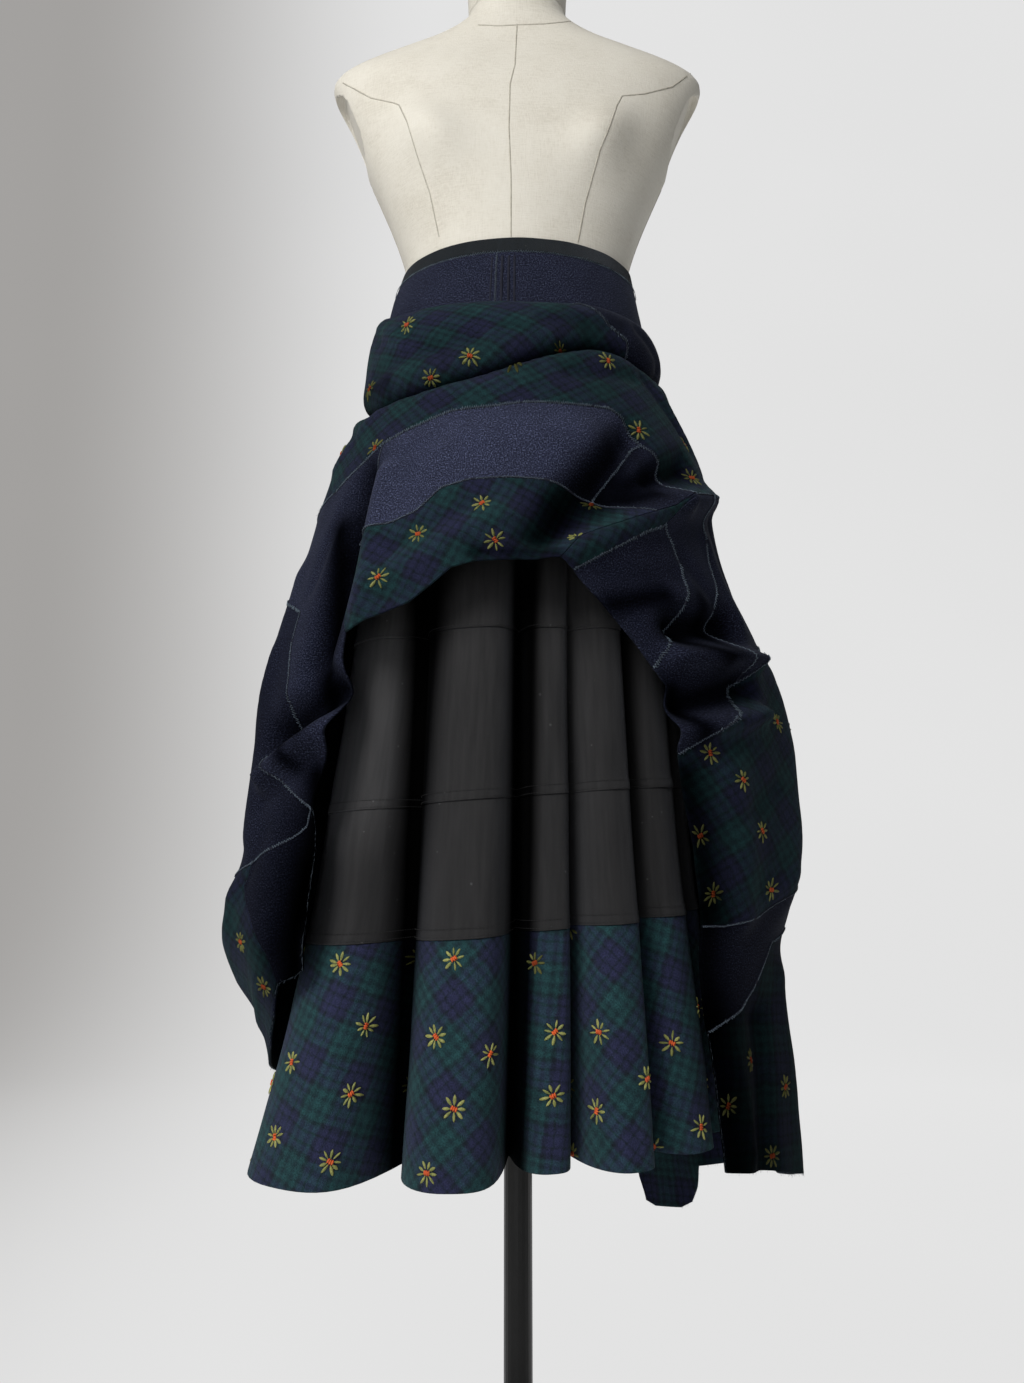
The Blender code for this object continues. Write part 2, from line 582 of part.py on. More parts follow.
def inset_outline(outline, gap):
    """The outline moved in by the gap, so that neighbours stay apart."""
    count = len(outline)
    area = sum(outline[i - 1].cross(outline[i]) for i in range(count))
    turn = 1.0 if area > 0.0 else -1.0
    moved = []
    for i, point in enumerate(outline):
        before = (point - outline[i - 1]).normalized()
        after = (outline[(i + 1) % count] - point).normalized()
        normal = Vector((-before.y - after.y, before.x + after.x)) * turn
        normal.normalize()
        edge_normal = Vector((-after.y, after.x)) * turn
        moved.append(point + normal * gap / max(0.35, normal.dot(edge_normal)))
    return moved


def filling_points(outline, spacing):
    """A staggered net of points inside the outline, clear of its edge."""
    low = Vector((min(p.x for p in outline), min(p.y for p in outline)))
    high = Vector((max(p.x for p in outline), max(p.y for p in outline)))
    rise = spacing * math.sqrt(3.0) / 2.0
    points = []
    for row in range(int((high.y - low.y) / rise) + 1):
        shift = 0.5 * (row % 2)
        for column in range(int((high.x - low.x) / spacing) + 2):
            point = low + Vector(((column + shift) * spacing, (row + 0.5) * rise))
            if inside_outline(point, outline) and edge_distance(point, outline) > (
                    spacing * FEATURE_CLEARANCE):
                points.append(point)
    return points


def inside_outline(point, outline):
    inside = False
    for a, b in zip(outline, outline[1:] + outline[:1]):
        if (a.y > point.y) != (b.y > point.y):
            cut = a.x + (point.y - a.y) / (b.y - a.y) * (b.x - a.x)
            if point.x < cut:
                inside = not inside
    return inside


def edge_distance(point, outline):
    nearest = math.inf
    for a, b in zip(outline, outline[1:] + outline[:1]):
        along = b - a
        t = min(1.0, max(0.0, (point - a).dot(along) / along.length_squared))
        nearest = min(nearest, (point - a - along * t).length)
    return nearest


def build_patch(name, cloth, route, collection, materials):
    outline = inset_outline(patch_outline(route, EDGE_SPACING), SEAM_GAP / 2)
    spacing = ROLL_SPACING if name.startswith("roll") else PANEL_SPACING
    points = outline + filling_points(outline, spacing)
    ring = [list(range(len(outline)))]
    flat, _, faces, _, _, _ = delaunay_2d_cdt(points, [], ring, 1, 1e-7)
    places = [rolled(point) for point in flat]
    outer = [outer_point(*place) for place in places]
    inner = [outer_inner_point(*place) for place in places]
    closed_wall(name, faces, outer, inner, collection, materials[cloth])


def build_patchwork(collection, materials):
    for name, cloth, route in PATCHES:
        build_patch(name, cloth, route, collection, materials)


def grid_faces(columns, rows):
    """Quads of a grid of points that is stored column by column."""
    faces = []
    for column in range(columns):
        for row in range(rows):
            a = column * (rows + 1) + row
            b = a + rows + 1
            faces.append([a, b, b + 1, a + 1])
    return faces


def build_tube_wall(name, table, angles, low, high, rows, thickness, cloth, target, materials):
    """A wall that follows a table of sections between two angles and two heights."""
    outer = []
    inner = []
    for degrees in angles:
        for row in range(rows + 1):
            height = low + (high - low) * row / rows
            outer.append(section_point(table, degrees, height))
            inner.append(section_point(table, degrees, height, -thickness))
    faces = grid_faces(len(angles) - 1, rows)
    closed_wall(name, faces, outer, inner, target, materials[cloth])


def angle_steps(start, end, count, gap_radius=0.12):
    """Angles from start to end, kept half a seam gap inside both."""
    inset = math.degrees(SEAM_GAP / 2 / gap_radius)
    first = start + inset
    last = end - inset
    return [first + (last - first) * i / count for i in range(count + 1)]


def build_waist(collection, materials):
    band = [(row[0],) + tuple(reach - WAISTBAND_INSET for reach in row[1:]) for row in YOKE]
    halves = [("waistband_front", -90, 90, 18), ("waistband_back", 90, 270, 18)]
    for name, start, end, count in halves:
        build_tube_wall(name, band, angle_steps(start, end, count), WAISTBAND_BOTTOM,
                        WAIST_TOP, 2, BAND, "black_cotton", collection, materials)
    panels = [
        ("yoke_front_right_hand", -90, YOKE_SEAM_ANGLE, 9),
        ("yoke_front_left_hand", YOKE_SEAM_ANGLE, 90, 11),
        ("yoke_back", 90, 270, 18),
    ]
    for name, start, end, count in panels:
        build_tube_wall(name, YOKE, angle_steps(start, end, count), YOKE_BOTTOM, YOKE_TOP,
                        3, BAND, "navy", collection, materials)


def underskirt_height(column, heights):
    number, across = flare_place(column)
    start = flare_valley(number, 0.5)
    end = flare_valley(number + 1, 0.5)
    return seam_height(heights, start + (end - start) * (across + 1.0) / 2.0)


def underskirt_normal(column, height):
    """Outward normal of the underskirt, by small steps across and up."""
    step = 0.12
    rise = 0.004
    across = underskirt_point(column + step, height) - underskirt_point(column - step, height)
    up = underskirt_point(column, height + rise) - underskirt_point(column, height - rise)
    return across.cross(up).normalized()


def build_tier(name, columns, low, high, rows, cloth, collection, materials):
    """One tier of the underskirt between two seams, from one column to another."""
    first, last = columns
    outer = []
    inner = []
    trim = 0.004
    places = [float(column) for column in range(first, last + 1)]
    places[0] += trim
    places[-1] -= trim
    for column in places:
        bottom = underskirt_height(column, low) + SEAM_GAP / 2
        top = underskirt_height(column, high) - SEAM_GAP / 2
        for row in range(rows + 1):
            height = bottom + (top - bottom) * row / rows
            point = underskirt_point(column, height)
            outer.append(point)
            inner.append(point - underskirt_normal(column, height) * COTTON)
    faces = grid_faces(len(places) - 1, rows)
    closed_wall(name, faces, outer, inner, collection, materials[cloth])


def build_underskirt(collection, materials):
    waist = (WAISTBAND_BOTTOM, WAISTBAND_BOTTOM)
    tiers = [
        ("underskirt_top", UPPER_SEAM, waist, 3, "black_cotton"),
        ("underskirt_middle", MIDDLE_SEAM, UPPER_SEAM, 2, "black_cotton"),
        ("underskirt_band", FLOUNCE_SEAM, MIDDLE_SEAM, 2, "black_cotton"),
        ("flounce", FLOUNCE_HEM, FLOUNCE_SEAM, 4, "tartan"),
    ]
    front_flares = 6
    front = (0, front_flares * COLUMNS_PER_LOBE)
    back = (front[1], len(FLARES) * COLUMNS_PER_LOBE)
    for name, low, high, rows, cloth in tiers:
        build_tier(name + "_front", front, low, high, rows, cloth, collection, materials)
        build_tier(name + "_back", back, low, high, rows, cloth, collection, materials)


def squared_point(row, degrees):
    """A point of a torso section: a superellipse, fuller the larger its squareness."""
    height, width, front, back, squareness = row
    angle = math.radians(degrees)
    side = math.sin(angle)
    ahead = math.cos(angle)
    depth = front if ahead > 0 else back
    power = 2.0 / squareness
    x = width * math.copysign(abs(side) ** power, side)
    y = -depth * math.copysign(abs(ahead) ** power, ahead)
    for centre in (-BUST_ANGLE, BUST_ANGLE):
        offset = math.radians(nearest_angle(degrees, centre) - centre) * width
        distance = math.hypot(offset, height - BUST_HEIGHT)
        y -= BUST_OUT * math.exp(-(distance / BUST_SPREAD) ** 2)
    return Vector((x, y, height))


def ring_loft(name, rings, collection, material):
    """A closed body through rings of equal counts, with flat ends."""
    builder = bmesh.new()
    loops = [[builder.verts.new(point) for point in ring] for ring in rings]
    count = len(loops[0])
    for low, high in zip(loops, loops[1:]):
        for i in range(count):
            j = (i + 1) % count
            builder.faces.new([low[i], low[j], high[j], high[i]])
    builder.faces.new(list(reversed(loops[0])))
    builder.faces.new(loops[-1])
    builder.normal_update()
    if builder.calc_volume(signed=True) < 0.0:
        bmesh.ops.reverse_faces(builder, faces=builder.faces)
    return link_mesh(name, builder, collection, material)


def build_torso(collection, cutters, materials):
    angles = [FULL_TURN * i / TORSO_SIDES for i in range(TORSO_SIDES)]
    rings = [[squared_point(row, degrees) for degrees in angles] for row in TORSO]
    torso = ring_loft("form_torso", rings, collection, materials["linen"])
    for side in (-1.0, 1.0):
        cutter = armhole_cutter(side, cutters)
        cut = torso.modifiers.new("armhole", "BOOLEAN")
        cut.operation = "DIFFERENCE"
        cut.solver = "EXACT"
        cut.object = cutter
    neck_rings = []
    for height, width, front, back in NECK:
        row = (height, width, front, back, 2.0)
        neck_rings.append([squared_point(row, degrees) for degrees in angles])
    ring_loft("form_neck", neck_rings, collection, materials["linen"])


def armhole_cutter(side, cutters):
    """A shallow oval pocket where the form's arm would be."""
    builder = bmesh.new()
    bmesh.ops.create_cone(builder, cap_ends=True, segments=20, radius1=1.0, radius2=1.0,
                          depth=2.0)
    mesh = bpy.data.meshes.new("armhole_cutter")
    builder.to_mesh(mesh)
    builder.free()
    name = "armhole_cutter_left" if side < 0 else "armhole_cutter_right"
    cutter = bpy.data.objects.new(name, mesh)
    cutters.objects.link(cutter)
    x, y, z = ARMHOLE_CENTRE
    cutter.location = (side * x, y, z)
    cutter.rotation_euler = (0.0, side * math.radians(90.0 + ARMHOLE_TILT), 0.0)
    cutter.scale = (ARMHOLE_HALF_HEIGHT, ARMHOLE_HALF_WIDTH, ARMHOLE_DEPTH)
    cutter.hide_render = True
    cutter.display_type = "WIRE"
    return cutter


def build_turned(name, profile, steps, collection, material):
    """A body turned about the Z axis from a closed profile of radius and height."""
    mesh = bpy.data.meshes.new(name)
    points = [(radius, 0.0, height) for radius, height in profile]
    mesh.from_pydata(points, [(i, i + 1) for i in range(len(points) - 1)], [])
    mesh.materials.append(material)
    piece = bpy.data.objects.new(name, mesh)
    collection.objects.link(piece)
    screw = piece.modifiers.new("turn", "SCREW")
    screw.axis = "Z"
    screw.angle = math.radians(FULL_TURN)
    screw.steps = steps
    screw.render_steps = steps
    screw.use_merge_vertices = True
    screw.merge_threshold = 0.00001
    screw.use_smooth_shade = True
    return piece


def build_stand(collection, materials):
    edge = BASE_RADIUS - BASE_EDGE
    base_profile = [
        (0.0, BASE_THICKNESS),
        (edge, BASE_THICKNESS),
        (BASE_RADIUS - BASE_EDGE * 0.3, BASE_THICKNESS - BASE_EDGE * 0.3),
        (BASE_RADIUS, BASE_THICKNESS - BASE_EDGE),
        (BASE_RADIUS, 0.0),
        (0.0, 0.0),
    ]
    build_turned("stand_base", base_profile, 36, collection, materials["black_metal"])
    bottom = BASE_THICKNESS + SEAT_GAP
    top = TORSO_BOTTOM - SEAT_GAP
    pole_profile = [(0.0, top), (POLE_RADIUS, top), (POLE_RADIUS, bottom), (0.0, bottom)]
    build_turned("stand_pole", pole_profile, 24, collection, materials["black_metal"])


def main():
    clear_scene()
    collection = make_collection("patchwork_skirt")
    cutters = make_collection("cutters")
    materials = {name: make_material(name) for name in COLOURS}
    build_stand(collection, materials)
    build_torso(collection, cutters, materials)
    build_waist(collection, materials)
    build_underskirt(collection, materials)
    build_patchwork(collection, materials)


main()
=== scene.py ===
"""Looks of the patchwork skirt on its limbless dress form.

Metres, +Z up, front towards -Y. Cloth is placed by an angle round the body (0 at the front,
90 at the wearer's left, which is +X) and a height above the floor, by the same rules and
tables as the solids, on a net that is fine enough for creases. Seams, stitches and flowers
are laid on the cloth by the same rules.
"""
import math

import bpy
import numpy as np
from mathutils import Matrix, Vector
from mathutils.bvhtree import BVHTree
from mathutils.geometry import delaunay_2d_cdt


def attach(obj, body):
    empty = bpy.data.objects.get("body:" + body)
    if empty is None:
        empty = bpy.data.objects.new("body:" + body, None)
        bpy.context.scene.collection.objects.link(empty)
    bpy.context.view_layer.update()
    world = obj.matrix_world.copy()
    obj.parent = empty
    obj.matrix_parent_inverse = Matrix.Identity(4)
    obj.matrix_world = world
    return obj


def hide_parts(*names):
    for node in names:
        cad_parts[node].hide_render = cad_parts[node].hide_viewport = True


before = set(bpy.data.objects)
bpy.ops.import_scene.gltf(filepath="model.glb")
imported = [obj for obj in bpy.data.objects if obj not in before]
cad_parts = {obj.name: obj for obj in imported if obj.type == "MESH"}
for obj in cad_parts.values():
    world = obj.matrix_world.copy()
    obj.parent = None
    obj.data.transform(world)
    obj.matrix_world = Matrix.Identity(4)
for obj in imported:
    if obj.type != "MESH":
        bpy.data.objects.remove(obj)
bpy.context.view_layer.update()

BODY = "root"

# The photograph's camera
PHOTO_WIDTH = 1024
PHOTO_HEIGHT = 1383
FOCAL_PIXELS = 1026.0
CAMERA_PLACE = (-0.006, -1.08, 0.62)
CAMERA_TILT = 9.0
SENSOR_SIZE = 36.0
NEAREST_SEEN = 0.05

# Floor and wall: places in metres along X for the wall's two ends, along Y for the floor's end
WALL_PLACE = 3.0
WALL_DARK_END = -2.0
WALL_LIGHT_END = -0.3
FLOOR_END = -0.15
WALL_START = 0.20
FLOOR_COLOUR = (0.78, 0.78, 0.77)
UNLIT_COLOUR = (0.01, 0.01, 0.01)
WALL_DARK = (0.36, 0.35, 0.34)
WALL_LIGHT = (0.76, 0.76, 0.76)
WALL_TOP = 6.0
WALL_CURVE = 1.2
CURVE_STEPS = 16
BACKDROP_REACH = 4.0
BACKDROP_DROP = 0.0005

# Lights: name, place, point that it faces, size, power in watts, colour
LIGHTS = [
    ("window_light", (-1.16, -1.80, 2.20), (0.0, 0.0, 0.95), (1.1, 1.2), 47.0,
     (1.0, 0.99, 0.97)),
    ("room_fill", (-0.55, -2.2, 0.85), (0.0, 0.0, 0.72), (1.2, 1.2), 8.6,
     (0.97, 0.98, 1.0)),
]
ROOM_COLOUR = (0.96, 0.98, 1.0, 1.0)
ROOM_STRENGTH = 0.15

# Dress form
BUST_HEIGHT = 1.385
BUST_ANGLE = 31.0
BUST_OUT = 0.016
BUST_SPREAD = 0.038
ARMHOLE_CENTRE = (0.1935, 0.0, 1.440)
ARMHOLE_TILT = 21.0
ARMHOLE_HALF_WIDTH = 0.036
ARMHOLE_HALF_HEIGHT = 0.052
ARMHOLE_DEPTH = 0.010
ARMHOLE_SIDES = 72
FORM_SIDES = 144
FORM_STEP = 0.006

# Cloth
WOOL = 0.0028
COTTON = 0.0018
BAND = 0.0020
SEAM_GAP = 0.0004
SEAT_GAP = 0.0003
UNROLL_RADIUS = 0.22

# Waistband and yoke heights
WAIST_TOP = 1.256
WAISTBAND_BOTTOM = 1.222
YOKE_BOTTOM = 1.153
YOKE_SEAM_ANGLE = -9.0

# Underskirt seams: height at the wearer's right (-X), height at the wearer's left (+X)
UPPER_SEAM = (0.826, 0.834)
MIDDLE_SEAM = (0.657, 0.686)
FLOUNCE_SEAM = (0.535, 0.566)
FLOUNCE_HEM = (0.334, 0.358)

# Rolls round the hips
ROLL_LIP = 0.034
CREASE_DEPTH = 0.013
CREASE_WIDTH = 0.010
YOKE_MARGIN = 0.016
ROLL_CLEARANCE = 0.0036
WAISTBAND_INSET = 0.0034

# Net of the cloth in the picture, which is finer than that of the solids
CLOTH_STEP = 0.0056
EDGE_STEP = 0.0050
EDGE_ROUNDING = 0.0012
LOBE_COLUMNS = 28
LOBE_OMEGA = 0.16
LOBE_LEAN = 0.12
VALLEY_SINK = 0.026
CREASE_NICK = 0.009
CREASE_NICK_WIDTH = 0.0045
ROLL_OVERHANG = 0.008
ROLL_OVERHANG_WIDTH = 0.010
YOKE_STITCH = 1.2370
# Tones of the underskirt and yoke, painted light that lifts the underskirt's first flare, and how
# strongly relief paints shade into the cloth's colour: troughs darker and ridges lighter, within
# a range
UNDERSKIRT_TONE = 1.3
FIRST_FLARE_PAINTED_LIGHT = 1.0
YOKE_TONE = 0.78
SHADE_RATE = 40.0
SHADE_RANGE = (0.22, 1.12)

# Sections of the dress form: height, half width, front depth, back depth, squareness
TORSO = [
    (0.960, 0.145, 0.096, 0.110, 2.0),
    (1.020, 0.148, 0.099, 0.115, 2.0),
    (1.080, 0.144, 0.096, 0.110, 2.0),
    (1.150, 0.131, 0.090, 0.097, 2.0),
    (1.205, 0.1215, 0.0865, 0.0865, 2.0),
    (1.240, 0.1220, 0.0885, 0.0875, 2.0),
    (1.258, 0.1233, 0.0898, 0.0888, 2.0),
    (1.285, 0.1295, 0.0905, 0.0900, 2.0),
    (1.320, 0.1415, 0.0930, 0.0925, 2.1),
    (1.360, 0.158, 0.094, 0.094, 2.2),
    (1.395, 0.173, 0.092, 0.094, 2.3),
    (1.440, 0.191, 0.084, 0.092, 2.4),
    (1.480, 0.207, 0.074, 0.084, 2.4),
    (1.502, 0.2135, 0.066, 0.074, 2.3),
    (1.518, 0.196, 0.060, 0.068, 2.2),
    (1.535, 0.157, 0.056, 0.062, 2.1),
    (1.550, 0.117, 0.054, 0.060, 2.0),
    (1.566, 0.083, 0.053, 0.058, 2.0),
    (1.580, 0.064, 0.054, 0.057, 2.0),
    (1.594, 0.0575, 0.054, 0.056, 2.0),
]
NECK = [
    (1.5943, 0.0570, 0.0535, 0.0555),
    (1.625, 0.0585, 0.0545, 0.0560),
    (1.645, 0.0595, 0.0550, 0.0565),
    (1.652, 0.0565, 0.0520, 0.0535),
    (1.655, 0.0480, 0.0440, 0.0450),
]

# Cloth sections: height, left reach (-X), right reach (+X), front depth, back depth
YOKE = [
    (1.130, 0.1560, 0.1500, 0.1230, 0.1220),
    (1.170, 0.1500, 0.1440, 0.1150, 0.1130),
    (1.219, 0.1415, 0.1360, 0.1050, 0.1030),
    (1.256, 0.1305, 0.1295, 0.0960, 0.0950),
]
UNDERSKIRT = [
    (0.330, 0.200, 0.174, 0.106, 0.170),
    (0.450, 0.182, 0.169, 0.120, 0.164),
    (0.550, 0.173, 0.165, 0.126, 0.158),
    (0.660, 0.167, 0.161, 0.128, 0.152),
    (0.810, 0.159, 0.157, 0.128, 0.144),
    (0.900, 0.1585, 0.157, 0.127, 0.137),
    (1.000, 0.157, 0.156, 0.121, 0.130),
    (1.130, 0.1455, 0.1420, 0.110, 0.114),
    (1.222, 0.1340, 0.1300, 0.0960, 0.0945),
]
OUTER = [
    (0.200, 0.243, 0.270, 0.205, 0.226),
    (0.315, 0.243, 0.270, 0.205, 0.225),
    (0.417, 0.248, 0.265, 0.207, 0.222),
    (0.488, 0.266, 0.259, 0.208, 0.220),
    (0.536, 0.284, 0.264, 0.208, 0.222),
    (0.573, 0.284, 0.276, 0.208, 0.224),
    (0.624, 0.279, 0.286, 0.206, 0.224),
    (0.676, 0.275, 0.284, 0.202, 0.222),
    (0.728, 0.270, 0.280, 0.198, 0.220),
    (0.782, 0.262, 0.268, 0.195, 0.215),
    (0.834, 0.250, 0.250, 0.191, 0.210),
    (0.891, 0.234, 0.227, 0.188, 0.200),
    (0.948, 0.221, 0.213, 0.180, 0.190),
    (1.005, 0.205, 0.204, 0.171, 0.180),
    (1.050, 0.189, 0.186, 0.162, 0.170),
    (1.085, 0.176, 0.172, 0.154, 0.160),
    (1.120, 0.170, 0.163, 0.148, 0.152),
    (1.150, 0.168, 0.160, 0.144, 0.147),
    (1.185, 0.163, 0.156, 0.136, 0.138),
    (1.230, 0.158, 0.149, 0.128, 0.128),
]

# How much of its hem depth a flare of the underskirt has at each height
FLARE_GROWTH = [
    (0.330, 1.00),
    (0.450, 0.76),
    (0.550, 0.58),
    (0.660, 0.44),
    (0.830, 0.26),
    (0.960, 0.08),
    (1.050, 0.01),
    (1.222, 0.00),
]

# Flares of the underskirt: angle of the valley before it at the top, the same at the hem,
# and how far its ridge stands out at the hem
FLARES = [
    (-86.0, -86.0, 0.094),
    (-42.0, -33.0, 0.078),
    (1.0, -3.0, 0.040),
    (19.0, 15.0, 0.064),
    (39.5, 37.0, 0.052),
    (62.0, 62.0, 0.034),
    (88.0, 90.0, 0.030),
    (116.0, 115.0, 0.032),
    (140.0, 141.0, 0.034),
    (166.0, 164.0, 0.030),
    (190.0, 191.0, 0.034),
    (216.0, 214.0, 0.032),
    (238.0, 237.0, 0.030),
    (256.0, 256.0, 0.006),
]
# How plainly the valley before a flare shows at the waist and at the hem; others are 1
FAINT_VALLEYS = {3: (0.10, 0.75)}
# How far the shade of the valley before it reaches over each flare, as a share of half of it
VALLEY_REACH = {1: (0.72, 0.32), 2: (0.60, 0.52), 3: (0.04, 0.04)}
COMMON_REACH = (0.30, 0.10)

FULL_TURN = 360.0

# Heights of the rolls' upper edge and of the crease below the first roll, by angle
ROLL_TOP = [
    (-180, 1.190), (-140, 1.196), (-95, 1.210), (-75, 1.200), (-56, 1.184), (-39, 1.177),
    (-23, 1.173), (-5, 1.170), (8, 1.169), (22, 1.172), (33, 1.175), (47, 1.176),
    (70, 1.177), (100, 1.180), (140, 1.186), (180, 1.190),
]
CREASE = [
    (-180, 1.105), (-140, 1.104), (-95, 1.104), (-75, 1.088), (-57, 1.076), (-42, 1.079),
    (-29, 1.080), (-21, 1.084), (-13, 1.087), (-1, 1.098), (11, 1.111), (27, 1.125),
    (38, 1.128), (48, 1.125), (62, 1.121), (80, 1.130), (100, 1.130), (140, 1.115),
    (180, 1.105),
]

# Folds of the patchwork layer: from angle and height, to angle and height, how far it stands
# out (a trough is negative) and its half width
FOLDS = [
    ("swag_left_trough", -45, 0.975, -48, 0.800, -0.020, 0.016),
    ("swag_left_ridge", -37, 0.980, -36, 0.845, 0.010, 0.014),
    ("swag_diagonal", -34, 0.870, -4, 0.925, 0.008, 0.014),
    ("swag_shade", 6, 0.905, 33, 1.012, -0.019, 0.019),
    ("swag_shoulder", -18, 1.000, 18, 1.012, 0.005, 0.022),
    ("roll_wrinkle_low", -62, 1.112, -14, 1.120, -0.004, 0.010),
    ("roll_wrinkle_high", 8, 1.137, 44, 1.150, -0.004, 0.009),
    ("cowl_a_ridge", 8, 0.882, 47, 0.957, 0.016, 0.014),
    ("cowl_a_rim", 47, 0.957, 72, 0.984, 0.012, 0.014),
    ("cowl_a_trough", 24, 0.955, 58, 1.004, -0.016, 0.016),
    ("cowl_b_trough", 36, 0.826, 58, 0.838, -0.026, 0.014),
    ("cowl_b_rim", 33, 0.798, 62, 0.808, 0.019, 0.011),
    ("cowl_c_trough", 33, 0.752, 54, 0.778, -0.023, 0.014),
    ("cowl_c_rim", 31, 0.728, 56, 0.752, 0.018, 0.011),
    ("left_cowl_trough", -41, 0.768, -60, 0.730, -0.026, 0.016),
    ("left_cowl_rim", -41, 0.732, -60, 0.694, 0.020, 0.014),
    ("left_long_fold", -74, 0.900, -68, 0.640, 0.007, 0.020),
    ("left_inner_shade", -48, 0.640, -50, 0.530, -0.014, 0.026),
    ("corner_flare", -74, 0.575, -82, 0.500, 0.013, 0.024),
    ("right_long_fold", 78, 0.800, 66, 0.590, 0.008, 0.024),
    ("right_inner_fold", 44, 0.690, 47, 0.570, 0.006, 0.018),
    ("right_hem_fold", 58, 0.470, 56, 0.335, -0.010, 0.020),
    ("right_hem_ridge", 74, 0.500, 76, 0.300, 0.008, 0.022),
    ("back_fold_1", 112, 0.960, 108, 0.290, 0.012, 0.026),
    ("back_fold_2", 134, 0.900, 128, 0.280, -0.012, 0.024),
    ("back_fold_3", 150, 0.980, 149, 0.230, 0.013, 0.026),
    ("back_fold_4", 170, 0.900, 172, 0.300, -0.011, 0.024),
    ("back_fold_5", -172, 0.960, -168, 0.300, 0.012, 0.026),
    ("back_fold_6", -150, 0.900, -152, 0.300, -0.012, 0.024),
    ("back_fold_7", -134, 0.980, -132, 0.310, 0.012, 0.026),
    ("back_fold_8", -112, 0.900, -114, 0.340, -0.010, 0.022),
    ("back_swag_1", -150, 1.060, 170, 1.030, 0.006, 0.018),
    ("back_swag_2", 120, 1.050, 168, 1.010, -0.006, 0.016),
]

